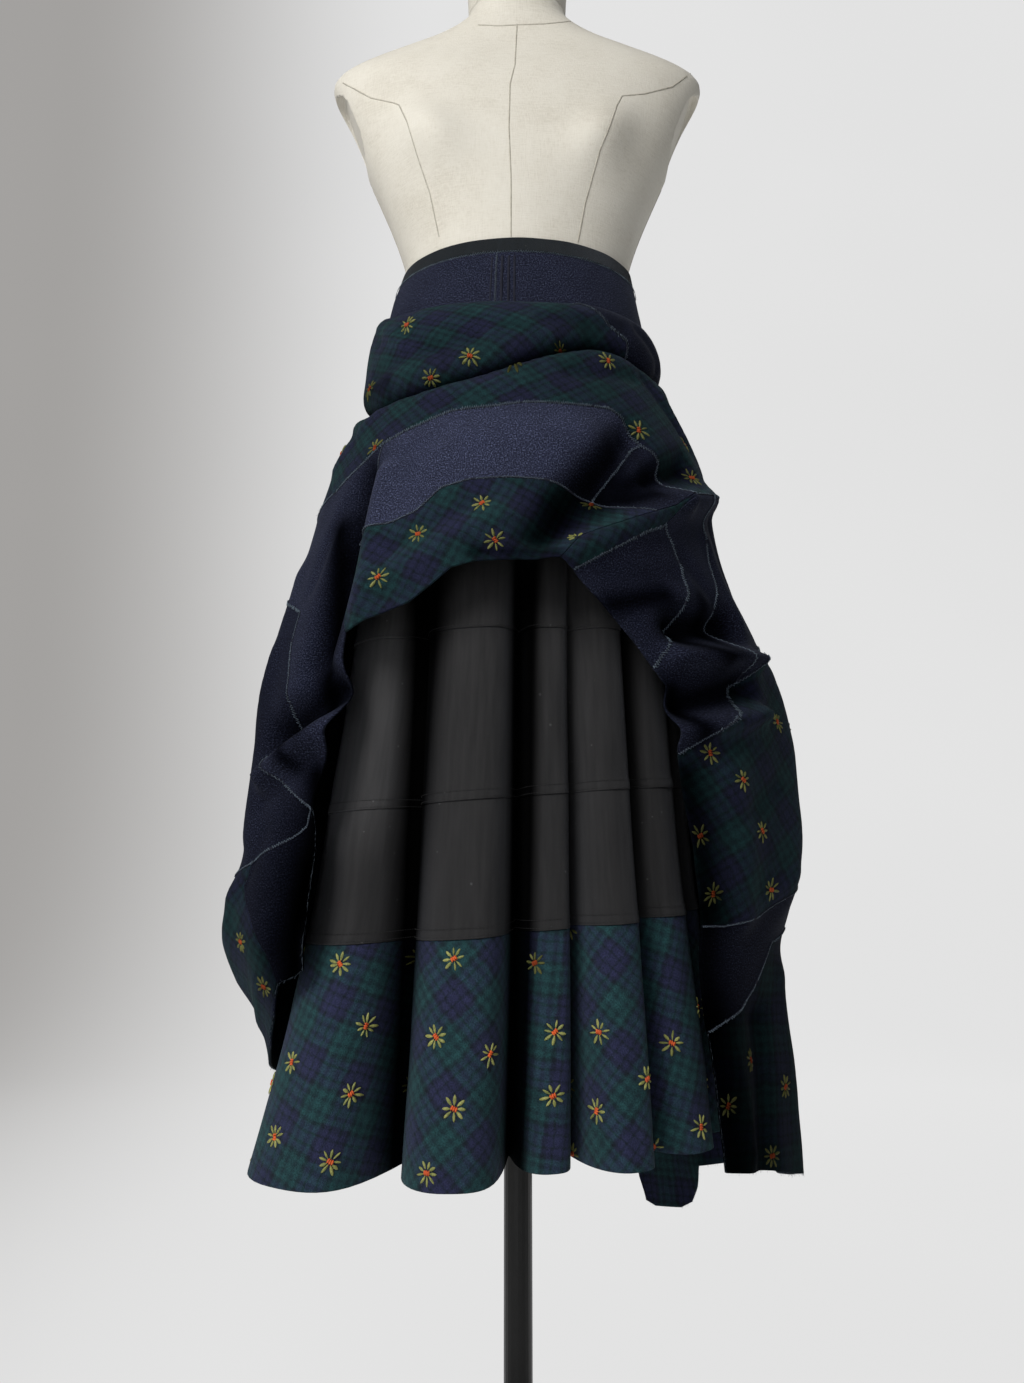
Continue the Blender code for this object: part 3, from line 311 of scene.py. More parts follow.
# Seams and edges of the patchwork layer, each a line of angle and height
SEAMS = {
    "roll_top_back_left": [(-180, 1.190), (-140, 1.196), (-95, 1.210)],
    "roll_top_front": [(-95, 1.210), (-75, 1.200), (-56, 1.184), (-39, 1.177), (-23, 1.173),
                       (-5, 1.170), (8, 1.169), (22, 1.172)],
    "roll_top_right": [(22, 1.172), (33, 1.175), (47, 1.176), (70, 1.177), (100, 1.180)],
    "roll_top_back_right": [(100, 1.180), (140, 1.186), (180, 1.190)],
    "roll_side_left": [(-95, 1.210), (-95, 1.104)],
    "roll_patch": [(22, 1.172), (28, 1.165), (36, 1.149), (45, 1.141), (48, 1.125)],
    "roll_side_right": [(100, 1.180), (100, 1.130)],
    "roll_centre_back": [(180, 1.190), (180, 1.105)],
    "crease_back_left": [(-180, 1.105), (-140, 1.104), (-95, 1.104)],
    "crease_front": [(-95, 1.104), (-75, 1.088), (-57, 1.076), (-42, 1.079), (-29, 1.080),
                     (-21, 1.084), (-13, 1.087), (-1, 1.098), (11, 1.111), (27, 1.125),
                     (38, 1.128), (48, 1.125)],
    "crease_right": [(48, 1.125), (62, 1.121), (80, 1.130), (100, 1.130)],
    "crease_back_right": [(100, 1.130), (140, 1.115), (180, 1.105)],
    "hip_side_left": [(-95, 1.104), (-95, 0.970)],
    "hip_side_right": [(100, 1.130), (100, 1.000)],
    "band_left": [(-95, 0.970), (-78, 0.972), (-60, 0.982), (-50, 1.000), (-41, 1.016)],
    "band_front": [(-41, 1.016), (-28, 1.028), (-19, 1.037), (-7, 1.038), (2, 1.042),
                   (17, 1.043), (28, 1.045), (32, 1.039), (38, 1.014)],
    "band_drop": [(38, 1.014), (44, 0.999), (47, 0.962)],
    "cowl_rim": [(47, 0.962), (55, 0.972), (66, 0.982)],
    "cowl_rim_side": [(66, 0.982), (82, 0.992), (100, 1.000)],
    "swag_left_upper": [(-41, 1.016), (-43, 0.970), (-47, 0.918)],
    "swag_left_lower": [(-47, 0.918), (-47, 0.890), (-44, 0.862), (-40, 0.824)],
    "swag_middle": [(-47, 0.918), (-39, 0.922), (-32, 0.925), (-25, 0.934), (-19, 0.956),
                    (-12, 0.962), (-2, 0.963), (7, 0.961), (21, 0.948)],
    "swag_middle_right": [(21, 0.948), (28, 0.939), (34, 0.935)],
    "swag_right": [(38, 1.014), (35, 1.008), (30, 0.987), (21, 0.948)],
    "swag_low": [(-40, 0.824), (-34, 0.833), (-24, 0.846), (-19, 0.862), (-15, 0.876),
                 (-10, 0.881), (0, 0.882), (9, 0.881)],
    "cowl_top": [(9, 0.881), (14, 0.904), (25, 0.921), (34, 0.935)],
    "cowl_top_right": [(34, 0.935), (41, 0.946), (47, 0.962)],
    "cowl_strip_end": [(9, 0.881), (12, 0.872)],
    "cowl_zigzag": [(12, 0.872), (21, 0.892), (30, 0.912), (38, 0.926)],
    "cowl_strip_tip": [(38, 0.926), (47, 0.962)],
    "cowl_edge": [(12, 0.872), (17, 0.847), (20, 0.830), (24, 0.806), (27, 0.785)],
    "cowl_patch_side": [(38, 0.926), (41, 0.912), (43, 0.891), (42, 0.867), (37, 0.831),
                        (33, 0.816), (27, 0.785)],
    "piping": [(66, 0.982), (59, 0.939), (57, 0.903), (57, 0.882), (53, 0.847),
               (54, 0.815), (56, 0.784)],
    "drape_edge_high": [(27, 0.785), (30, 0.771), (29, 0.752), (30, 0.707)],
    "tartan_top": [(30, 0.707), (35, 0.721), (45, 0.746), (56, 0.784)],
    "tartan_top_side": [(56, 0.784), (63, 0.812), (80, 0.832), (100, 0.840)],
    "drape_edge_middle": [(30, 0.707), (31, 0.665), (33, 0.610), (36, 0.558)],
    "tartan_low": [(36, 0.558), (42, 0.557), (52, 0.564), (62, 0.578), (80, 0.602),
                   (100, 0.620)],
    "drape_edge_low": [(36, 0.558), (37, 0.530), (39, 0.468)],
    "navy_low": [(39, 0.468), (50, 0.483), (56, 0.500), (64, 0.538), (80, 0.547),
                 (100, 0.550)],
    "hem_panel_edge": [(39, 0.468), (40, 0.410), (41, 0.352)],
    "hem_right": [(41, 0.352), (50, 0.345), (60, 0.338), (75, 0.323), (88, 0.308),
                  (100, 0.296)],
    "side_right_1": [(100, 1.000), (100, 0.840)],
    "side_right_2": [(100, 0.840), (100, 0.620)],
    "side_right_3": [(100, 0.620), (100, 0.550)],
    "side_right_4": [(100, 0.550), (100, 0.296)],
    "left_edge_high": [(-40, 0.824), (-38, 0.759), (-39, 0.725), (-41, 0.690), (-44, 0.661)],
    "left_zigzag": [(-95, 0.900), (-78, 0.880), (-62, 0.856), (-62, 0.825), (-58, 0.791),
                    (-57, 0.758), (-58, 0.733), (-56, 0.699), (-53, 0.684), (-44, 0.661)],
    "left_lower_zigzag": [(-44, 0.661), (-47, 0.645), (-53, 0.631), (-66, 0.611)],
    "left_lower_side": [(-66, 0.611), (-80, 0.595), (-95, 0.580)],
    "left_edge_low": [(-44, 0.661), (-42, 0.620), (-42, 0.560), (-45, 0.518), (-55, 0.503)],
    "corner_fold": [(-66, 0.611), (-68, 0.590), (-62, 0.562), (-57, 0.531), (-55, 0.503)],
    "corner_edge": [(-55, 0.503), (-60, 0.470), (-68, 0.442), (-80, 0.418), (-95, 0.400)],
    "side_left_1": [(-95, 0.970), (-95, 0.900)],
    "side_left_2": [(-95, 0.900), (-95, 0.580)],
    "side_left_3": [(-95, 0.580), (-95, 0.400)],
    "back_right_1": [(100, 1.000), (140, 0.985), (180, 0.975)],
    "back_right_2": [(100, 0.840), (140, 0.800), (180, 0.770)],
    "back_right_3": [(100, 0.620), (140, 0.600), (180, 0.590)],
    "back_right_4": [(100, 0.550), (140, 0.480), (180, 0.440)],
    "hem_back_right": [(100, 0.296), (120, 0.286), (129, 0.276), (131, 0.250), (133, 0.232),
                       (136, 0.224), (144, 0.218), (147, 0.221), (149, 0.245), (151, 0.290),
                       (180, 0.298)],
    "back_left_1": [(-180, 0.975), (-140, 0.975), (-95, 0.970)],
    "back_left_2": [(-180, 0.770), (-140, 0.820), (-95, 0.900)],
    "back_left_3": [(-180, 0.590), (-140, 0.585), (-95, 0.580)],
    "back_left_4": [(-180, 0.440), (-140, 0.425), (-95, 0.400)],
    "hem_back_left": [(-180, 0.298), (-150, 0.304), (-125, 0.330), (-95, 0.400)],
    "centre_back_1": [(180, 1.105), (180, 0.975)],
    "centre_back_2": [(180, 0.975), (180, 0.770)],
    "centre_back_3": [(180, 0.770), (180, 0.590)],
    "centre_back_4": [(180, 0.590), (180, 0.440)],
    "centre_back_5": [(180, 0.440), (180, 0.298)],
}

# Patches of the outer layer: name, cloth, and the seams round it. A seam that is walked
# backwards starts with "-"; one that is walked at angle -180 instead of 180 with "<"
PATCHES = [
    ("roll_front", "tartan", "roll_top_front roll_patch -crease_front -roll_side_left"),
    ("roll_right", "navy", "roll_top_right roll_side_right -crease_right -roll_patch"),
    ("roll_back_right", "tartan",
     "roll_top_back_right roll_centre_back -crease_back_right -roll_side_right"),
    ("roll_back_left", "tartan",
     "roll_top_back_left roll_side_left -crease_back_left <-roll_centre_back"),
    ("swag_band", "tartan",
     "crease_front crease_right hip_side_right -cowl_rim_side -cowl_rim -band_drop "
     "-band_front -band_left -hip_side_left"),
    ("swag_navy", "navy", "band_front swag_right -swag_middle -swag_left_upper"),
    ("swag_edge", "tartan",
     "swag_middle swag_middle_right -cowl_top -swag_low -swag_left_lower"),
    ("swag_gusset", "navy",
     "band_drop -cowl_top_right -swag_middle_right -swag_right"),
    ("cowl_strip", "tartan",
     "cowl_top cowl_top_right -cowl_strip_tip -cowl_zigzag -cowl_strip_end"),
    ("cowl_patch", "navy", "cowl_zigzag cowl_patch_side -cowl_edge"),
    ("right_side_navy", "navy",
     "cowl_rim piping -tartan_top -drape_edge_high -cowl_patch_side cowl_strip_tip"),
    ("right_outer_navy", "navy", "cowl_rim_side side_right_1 -tartan_top_side -piping"),
    ("right_tartan", "tartan",
     "tartan_top tartan_top_side side_right_2 -tartan_low -drape_edge_middle"),
    ("right_lower_navy", "navy", "tartan_low side_right_3 -navy_low -drape_edge_low"),
    ("right_hem", "tartan", "navy_low side_right_4 -hem_right -hem_panel_edge"),
    ("left_front_navy", "navy",
     "band_left swag_left_upper swag_left_lower left_edge_high -left_zigzag -side_left_1"),
    ("left_side_navy", "navy",
     "left_zigzag left_lower_zigzag left_lower_side -side_left_2"),
    ("left_lower_navy", "navy", "left_lower_zigzag corner_fold -left_edge_low"),
    ("left_corner_tartan", "tartan",
     "left_lower_side side_left_3 -corner_edge -corner_fold"),
    ("back_yoke_right", "tartan",
     "crease_back_right centre_back_1 -back_right_1 -hip_side_right"),
    ("back_upper_right", "navy", "back_right_1 centre_back_2 -back_right_2 -side_right_1"),
    ("back_middle_right", "tartan",
     "back_right_2 centre_back_3 -back_right_3 -side_right_2"),
    ("back_lower_right", "navy", "back_right_3 centre_back_4 -back_right_4 -side_right_3"),
    ("back_hem_right", "tartan",
     "back_right_4 centre_back_5 -hem_back_right -side_right_4"),
    ("back_yoke_left", "tartan",
     "crease_back_left hip_side_left -back_left_1 <-centre_back_1"),
    ("back_upper_left", "navy", "back_left_1 side_left_1 -back_left_2 <-centre_back_2"),
    ("back_middle_left", "navy", "back_left_2 side_left_2 -back_left_3 <-centre_back_3"),
    ("back_lower_left", "tartan", "back_left_3 side_left_3 -back_left_4 <-centre_back_4"),
    ("back_hem_left", "navy", "back_left_4 -hem_back_left <-centre_back_5"),
]

# Smaller creases of the patchwork layer, in the form of the folds above
FINE_FOLDS = [
    ("roll_crumple_1", -82, 1.188, -60, 1.150, -0.0030, 0.007),
    ("roll_crumple_2", -58, 1.168, -44, 1.130, 0.0026, 0.007),
    ("roll_crumple_3", -46, 1.150, -24, 1.104, -0.0030, 0.006),
    ("roll_crumple_4", -12, 1.150, 12, 1.128, 0.0024, 0.008),
    ("roll_crumple_5", 14, 1.158, 30, 1.134, -0.0026, 0.007),
    ("roll_crumple_6", 52, 1.160, 74, 1.140, -0.0030, 0.007),
    ("roll_crumple_7", 120, 1.150, 150, 1.140, -0.0030, 0.008),
    ("roll_crumple_8", -160, 1.150, -130, 1.142, -0.0030, 0.008),
    ("band_crumple_1", -88, 1.075, -60, 1.040, -0.0034, 0.008),
    ("band_crumple_2", -72, 1.020, -50, 1.060, 0.0030, 0.009),
    ("band_crumple_3", -30, 1.062, 2, 1.066, 0.0034, 0.009),
    ("band_crumple_4", 16, 1.080, 44, 1.092, -0.0034, 0.008),
    ("band_crumple_5", 50, 1.100, 70, 1.040, -0.0036, 0.008),
    ("band_crumple_6", 60, 1.090, 84, 1.020, 0.0034, 0.009),
    ("swag_crumple_1", -44, 0.990, -20, 1.008, -0.0018, 0.008),
    ("swag_crumple_2", -30, 0.900, -10, 0.940, -0.0030, 0.009),
    ("swag_crumple_3", -38, 0.852, -20, 0.880, 0.0030, 0.010),
    ("swag_crumple_4", 0, 0.900, 24, 0.926, -0.0036, 0.008),
    ("swag_crumple_5", 20, 0.930, 42, 0.986, -0.0040, 0.009),
    ("gusset_crumple", 33, 1.004, 40, 0.950, 0.0030, 0.008),
    ("cowl_crumple_1", 20, 0.868, 40, 0.880, -0.0030, 0.010),
    ("cowl_crumple_2", 26, 0.830, 40, 0.862, 0.0030, 0.010),
    ("cowl_crumple_3", 44, 0.900, 56, 0.850, -0.0040, 0.010),
    ("cowl_crumple_4", 30, 0.776, 52, 0.794, -0.0040, 0.008),
    ("side_crumple_1", 60, 0.930, 64, 0.850, 0.0036, 0.010),
    ("side_crumple_2", 70, 0.960, 76, 0.860, -0.0036, 0.011),
    ("side_crumple_3", 40, 0.640, 60, 0.680, -0.0030, 0.010),
    ("side_crumple_4", 48, 0.560, 66, 0.600, 0.0030, 0.011),
    ("side_crumple_5", 46, 0.440, 50, 0.360, 0.0040, 0.011),
    ("left_crumple_1", -52, 0.960, -60, 0.880, -0.0040, 0.010),
    ("left_crumple_2", -48, 0.880, -50, 0.800, 0.0040, 0.010),
    ("left_crumple_3", -44, 0.790, -56, 0.760, -0.0040, 0.009),
    ("left_crumple_4", -44, 0.706, -62, 0.668, -0.0036, 0.009),
    ("left_crumple_5", -70, 0.820, -80, 0.700, 0.0036, 0.012),
    ("left_crumple_6", -60, 0.640, -72, 0.560, -0.0030, 0.010),
    ("corner_crumple", -64, 0.500, -74, 0.460, 0.0040, 0.010),
    ("back_crumple_1", 116, 0.930, 134, 0.880, -0.0036, 0.011),
    ("back_crumple_2", 150, 0.900, 172, 0.860, 0.0036, 0.011),
    ("back_crumple_3", -176, 0.720, -150, 0.680, -0.0030, 0.011),
    ("back_crumple_4", -140, 0.930, -118, 0.890, 0.0036, 0.011),
    ("back_crumple_5", 110, 0.700, 124, 0.560, -0.0040, 0.012),
    ("back_crumple_6", 156, 0.560, 160, 0.420, 0.0040, 0.012),
    ("back_crumple_7", -160, 0.560, -158, 0.420, 0.0040, 0.012),
    ("back_crumple_8", -124, 0.640, -120, 0.480, -0.0040, 0.012),
]
WRINKLES = [(14, 14.0, 0.0016, 3), (36, 40.0, 0.0006, 5)]

# Where deep folds keep the light off the patchwork layer: from angle and height, to angle and
# height, how dark, and half width
SHADOWS = [
    ("beside_swag", -52, 0.935, -46, 0.815, 0.95, 0.017),
    ("left_hollow", -45, 0.785, -46, 0.735, 0.93, 0.015),
    ("pocket_hollow", -53, 0.738, -49, 0.702, 0.85, 0.011),
    ("below_pocket", -42, 0.690, -43, 0.570, 0.97, 0.024),
    ("corner_inside", -43, 0.600, -50, 0.500, 0.97, 0.034),
    ("swag_shade_high", 9, 0.940, 26, 1.002, 0.70, 0.021),
    ("swag_shade_low", 8, 0.922, 25, 0.950, 0.55, 0.014),
    ("swag_twist", -10, 0.890, 8, 0.886, 0.75, 0.009),
    ("gusset_hollow", 30, 0.950, 40, 0.962, 0.80, 0.010),
    ("swag_left_fade", -44, 0.995, -41, 0.920, 0.55, 0.016),
    ("cowl_patch_hollow", 20, 0.842, 34, 0.856, 0.88, 0.014),
    ("cowl_hollow", 33, 0.822, 46, 0.800, 0.88, 0.011),
    ("cowl_side_hollow", 47, 0.860, 50, 0.812, 0.70, 0.012),
    ("drape_hollow", 31, 0.768, 35, 0.726, 0.90, 0.012),
    ("tartan_inner", 31, 0.690, 36, 0.575, 0.88, 0.020),
    ("low_navy_inner", 37, 0.560, 39, 0.470, 0.85, 0.026),
    ("hem_inner", 38, 0.470, 44, 0.340, 0.93, 0.046),
    ("left_side_fade", -74, 0.760, -80, 0.640, 0.35, 0.040),
    ("roll_left_under", -80, 1.104, -50, 1.096, 0.55, 0.010),
]

# How each patch of cloth is laid on: turn of its check in degrees
CHECK_TURN = {
    "roll_front": 38, "roll_back_right": 44, "roll_back_left": 35, "swag_band": 52,
    "swag_edge": 28, "cowl_strip": 24, "right_tartan": 57, "right_hem": 6,
    "left_corner_tartan": 40, "back_yoke_right": 46, "back_middle_right": 40,
    "back_hem_right": 8, "back_yoke_left": 50, "back_lower_left": 12,
}
LOBE_TURN = [17, 47, 6, 40, 20, 44, 10, 38, 20, 48, 12, 40, 24, 46]

# How light or dark each patch is painted, beside the common navy or check: partly its own wool's
# tone, partly painted shade where it lies away from the light or curls inward, and painted light
# where it is lit
PATCH_TONE_AND_SHADE = {
    "roll_front": 0.74, "roll_right": 0.52, "swag_band": 0.70, "swag_navy": 1.25,
    "swag_edge": 0.78, "swag_gusset": 0.55, "cowl_strip": 0.60, "cowl_patch": 0.50,
    "right_side_navy": 0.54, "right_outer_navy": 0.48, "right_tartan": 0.55,
    "right_lower_navy": 0.38, "right_hem": 0.34, "left_front_navy": 0.76,
    "left_side_navy": 0.46, "left_lower_navy": 0.34, "left_corner_tartan": 0.55,
    "back_hem_right": 1.0,
}

# Seams of the outer layer that show a raw edge under zigzag stitches, and how plainly
ZIGZAG_SEAMS = {
    "roll_patch": 1.0, "band_left": 0.8, "band_front": 1.2, "band_drop": 1.0,
    "cowl_rim": 0.4, "cowl_rim_side": 0.8, "swag_middle": 0.45, "swag_middle_right": 0.4,
    "swag_right": 0.9, "cowl_zigzag": 1.1, "cowl_patch_side": 1.1, "piping": 0.8,
    "tartan_top": 1.0, "tartan_top_side": 0.9, "tartan_low": 0.5, "navy_low": 0.8,
    "left_zigzag": 1.1, "left_lower_zigzag": 0.9, "left_lower_side": 0.7,
    "side_right_1": 0.8, "side_right_2": 0.8, "side_right_3": 0.8, "side_right_4": 0.8,
    "side_left_1": 0.8, "side_left_2": 0.8, "side_left_3": 0.8,
    "hip_side_left": 0.8, "hip_side_right": 0.8,
    "back_right_1": 0.9, "back_right_2": 0.9, "back_right_3": 0.9, "back_right_4": 0.9,
    "back_left_1": 0.9, "back_left_2": 0.9, "back_left_3": 0.9, "back_left_4": 0.9,
    "centre_back_1": 0.9, "centre_back_2": 0.9, "centre_back_3": 0.9,
    "centre_back_4": 0.9, "centre_back_5": 0.9, "swag_left_upper": 0.3,
}
RAW_EDGES = ["hem_right", "hem_back_right", "hem_back_left", "corner_edge",
             "left_edge_low", "hem_panel_edge"]

# Where the flowers that the photograph shows are centred, in its pixels
FLOWER_PIXELS = [
    (407, 325), (470, 356), (431, 378), (560, 351), (608, 361), (370, 389), (375, 448),
    (639, 430), (692, 478), (482, 503), (418, 534), (378, 577), (346, 590), (495, 540),
    (591, 505), (577, 537), (241, 942), (264, 987), (283, 1014), (710, 753), (743, 780),
    (777, 722), (700, 836), (762, 831), (713, 894), (771, 890), (750, 1060), (785, 1087),
    (772, 1156), (670, 1197), (728, 1106), (340, 964), (366, 1026), (292, 1062),
    (351, 1094), (275, 1137), (330, 1162), (425, 939), (454, 959), (436, 1037),
    (490, 1054), (454, 1109), (427, 1173), (535, 963), (570, 928), (555, 1032),
    (553, 1096), (573, 1154), (599, 1032), (597, 1111), (664, 914), (672, 1043),
    (701, 1127), (654, 1147), (647, 1079),
]

FLOWER_RADIUS = 0.0112
HIDDEN_FLOWER_ROW = 0.058
HIDDEN_FLOWER_STEP = 0.070
FLOWER_CLEARANCE = 0.040
FLOWER_LIGHT = 0.12


def wrapped(degrees, middle=0.0):
    """The same directions, written within half a turn of the middle."""
    return (degrees - middle + FULL_TURN / 2) % FULL_TURN - FULL_TURN / 2 + middle


def smooth(t):
    """Ease from 0 to 1."""
    t = np.clip(t, 0.0, 1.0)
    return t * t * (3.0 - 2.0 * t)


def curve_values(rows, x, column=1):
    """Heights, at every x, of a smooth curve through the rows' points."""
    keys = np.array([row[0] for row in rows], float)
    values = np.array([row[column] for row in rows], float)
    x = np.clip(x, keys[0], keys[-1])
    place = np.clip(np.searchsorted(keys, x, side="right") - 1, 0, len(keys) - 2)
    before = np.maximum(place - 1, 0)
    after = np.minimum(place + 2, len(keys) - 1)
    low = keys[place]
    high = keys[place + 1]
    span = high - low
    t = (x - low) / span
    start = values[place]
    end = values[place + 1]
    slope_start = (end - values[before]) / (high - keys[before]) * span
    slope_end = (values[after] - start) / (keys[after] - low) * span
    return ((2 * t ** 3 - 3 * t ** 2 + 1) * start
            + (t ** 3 - 2 * t ** 2 + t) * slope_start
            + (-2 * t ** 3 + 3 * t ** 2) * end
            + (t ** 3 - t ** 2) * slope_end)


def soft_noise(x, y, period, seed):
    """Smooth noise from -1 to 1, one bump a unit, that repeats along x after the period."""
    table = np.random.default_rng(seed).uniform(-1.0, 1.0, (period, 97))
    column = np.floor(x).astype(int)
    row = np.floor(y).astype(int)
    tx = smooth(x - column)
    ty = smooth(y - row)
    left = column % period
    right = (column + 1) % period
    low = row % 97
    high = (row + 1) % 97
    bottom = table[left, low] * (1 - tx) + table[right, low] * tx
    top = table[left, high] * (1 - tx) + table[right, high] * tx
    return bottom * (1 - ty) + top * ty


def section_points(table, degrees, height, out=0.0):
    """Points of the sections at these heights, moved out along the sections' normals."""
    angle = np.radians(degrees)
    side = np.sin(angle)
    ahead = np.cos(angle)
    width = np.where(side > 0, curve_values(table, height, 2), curve_values(table, height, 1))
    depth = np.where(ahead > 0, curve_values(table, height, 3), curve_values(table, height, 4))
    across = side / width
    along = -ahead / depth
    length = np.hypot(across, along)
    x = width * side + across / length * out
    y = -depth * ahead + along / length * out
    return np.stack([x, y, height + 0.0 * x], axis=-1)


def fold_relief(degrees, height, folds):
    """How far the folds move the cloth out at each place."""
    total = np.zeros_like(degrees, dtype=float)
    for _, angle_a, height_a, angle_b, height_b, out, half_width in folds:
        angle_b = wrapped(angle_b, angle_a)
        angle = wrapped(degrees, (angle_a + angle_b) / 2)
        along_x = math.radians(angle_b - angle_a) * UNROLL_RADIUS
        along_y = height_b - height_a
        here_x = np.radians(angle - angle_a) * UNROLL_RADIUS
        here_y = height - height_a
        squared = along_x ** 2 + along_y ** 2
        t = np.clip((here_x * along_x + here_y * along_y) / squared, 0.0, 1.0)
        distance = np.hypot(here_x - along_x * t, here_y - along_y * t)
        total += out * np.exp(-(distance / half_width) ** 2)
    return total


def shadow_light(degrees, height):
    """How much light the shadows leave at each place."""
    light = np.ones_like(degrees, dtype=float)
    for shadow in SHADOWS:
        light *= 1.0 - fold_relief(degrees, height, [shadow])
    return light


def wrinkle_relief(degrees, height):
    """Slight unevenness all over the cloth."""
    total = np.zeros_like(degrees, dtype=float)
    for bumps, rate, out, seed in WRINKLES:
        x = (degrees / FULL_TURN) * bumps
        total += out * soft_noise(x, height * rate, bumps, seed)
    return total


def yoke_clearance(degrees, height):
    """The least relief at which the patchwork layer still lies over the yoke."""
    base = section_points(OUTER, degrees, height)
    step_out = section_points(OUTER, degrees, height, 1.0) - base
    seat = section_points(YOKE, degrees, height, WOOL + ROLL_CLEARANCE)
    return np.sum((seat - base) * step_out, axis=-1)


def outer_relief(degrees, height):
    crease = curve_values(CREASE, degrees)
    relief = fold_relief(degrees, height, FOLDS) + fold_relief(degrees, height, FINE_FOLDS)
    relief += wrinkle_relief(degrees, height)
    relief -= CREASE_DEPTH * np.exp(-((height - crease) / CREASE_WIDTH) ** 2)
    relief -= CREASE_NICK * np.exp(-((height - crease + 0.002) / CREASE_NICK_WIDTH) ** 2)
    near_yoke = height > YOKE_BOTTOM - YOKE_MARGIN
    clear = np.maximum(relief, yoke_clearance(degrees, height))
    return np.where(near_yoke, clear, relief)


def outer_points(degrees, height, out=0.0):
    """The patchwork layer's outer face: rolls, crease and folds on its sections."""
    degrees = wrapped(np.asarray(degrees, float))
    height = np.asarray(height, float)
    crease = curve_values(CREASE, degrees)
    top = curve_values(ROLL_TOP, degrees)
    point = section_points(OUTER, degrees, height, outer_relief(degrees, height) + out)
    lip = np.clip((top - height) / ROLL_LIP, 0.0, 1.0)
    share = np.sqrt(1.0 - (1.0 - lip) ** 2)[..., None]
    seat = section_points(YOKE, degrees, height, WOOL + SEAT_GAP + out)
    point = seat + (point - seat) * share
    place = (height - crease - ROLL_OVERHANG_WIDTH * 0.6) / ROLL_OVERHANG_WIDTH
    point[..., 2] -= ROLL_OVERHANG * np.exp(-place ** 2)
    return point


def seam_height(heights, degrees):
    """Height of an underskirt seam that climbs evenly from one side to the other."""
    share = 0.5 + 0.5 * np.sin(np.radians(degrees))
    return heights[0] + (heights[1] - heights[0]) * share


def flare_valleys(growth):
    """Angle of the valley before each flare, at this growth, with the first one again."""
    valleys = [top + (hem - top) * growth for top, hem, _ in FLARES]
    valleys.append(valleys[0] + FULL_TURN)
    return np.array(valleys)


def valley_strength(column, growth):
    """How plain the valley nearest to each column is."""
    nearest = np.round(column).astype(int) % len(FLARES)
    strength = np.ones_like(growth + column)
    for number, (top, hem) in FAINT_VALLEYS.items():
        strength = np.where(nearest == number, top + (hem - top) * growth, strength)
    return strength


def valley_light(column, growth):
    """How much light reaches the flares: each one shades the left part of the next."""
    number = np.floor(column).astype(int)
    across = 2.0 * (column - number) - 1.0
    reach = np.array([VALLEY_REACH.get(k, COMMON_REACH) for k in range(len(FLARES))])
    dark = reach[number, 0] + (reach[number, 1] - reach[number, 0]) * growth
    left = smooth((across + 1.0 - dark) / (0.55 - 0.25 * growth))
    right = smooth((0.93 - across) / 0.13)
    return left * right


def underskirt_points(column, height, out=0.0):
    """Points of the underskirt. The column counts flares: 2.5 is the ridge of the third."""
    column = np.asarray(column, float) % len(FLARES)
    height = np.asarray(height, float)
    growth = curve_values(FLARE_GROWTH, height)
    number = np.floor(column).astype(int)
    across = 2.0 * (column - number) - 1.0
    tops = flare_valleys(0.0)
    hems = flare_valleys(1.0)
    start = tops[number] + (hems - tops)[number] * growth
    end = tops[number + 1] + (hems - tops)[number + 1] * growth
    ridge = np.array([flare[2] for flare in FLARES])[number]
    leaned = across + LOBE_OMEGA * growth * np.sin(np.pi * across)
    degrees = start + (end - start) * (leaned + 1.0) / 2.0
    side = np.where(across < LOBE_LEAN, 1.0 + LOBE_LEAN, 1.0 - LOBE_LEAN)
    place = np.abs(across - LOBE_LEAN) / side
    slope = np.cos(np.pi * place / 2.0).clip(0.0) ** 1.5
    rise = np.where(across < LOBE_LEAN, slope, 1.0 - place ** 3.2)
    ripple = 0.0010 * soft_noise(column * 5.0, height * 16.0, 5 * len(FLARES), 11)
    strength = valley_strength(column, growth)
    sunk = VALLEY_SINK * (1.0 - rise) ** 2.5 * smooth((1.02 - height) / 0.20) * strength
    relief = ridge * growth * rise + ripple - sunk
    return section_points(UNDERSKIRT, degrees, height, relief + out)


def unrolled(places):
    """Flat places in metres of (angle, height) pairs."""
    places = np.asarray(places, float)
    return np.stack([np.radians(places[:, 0]) * UNROLL_RADIUS, places[:, 1]], axis=1)


def seam_places(word):
    """A seam's flat points, in the order and at the side that the word asks for."""
    at_minus = word.startswith("<")
    word = word.lstrip("<")
    nodes = list(SEAMS[word.lstrip("-")])
    if at_minus:
        nodes = [(-degrees, height) for degrees, height in nodes]
    if word.startswith("-"):
        nodes.reverse()
    return unrolled(nodes)


def divided(points, spacing, keep_last=False):
    """Points along a line of corners, no further apart than the spacing."""
    made = []
    for start, end in zip(points[:-1], points[1:]):
        steps = max(1, math.ceil(np.linalg.norm(end - start) / spacing))
        share = np.arange(steps)[:, None] / steps
        made.append(start + (end - start) * share)
    if keep_last:
        made.append(points[-1:])
    return np.concatenate(made)


def patch_outline(route, spacing):
    return np.concatenate([divided(seam_places(word), spacing) for word in route.split()])


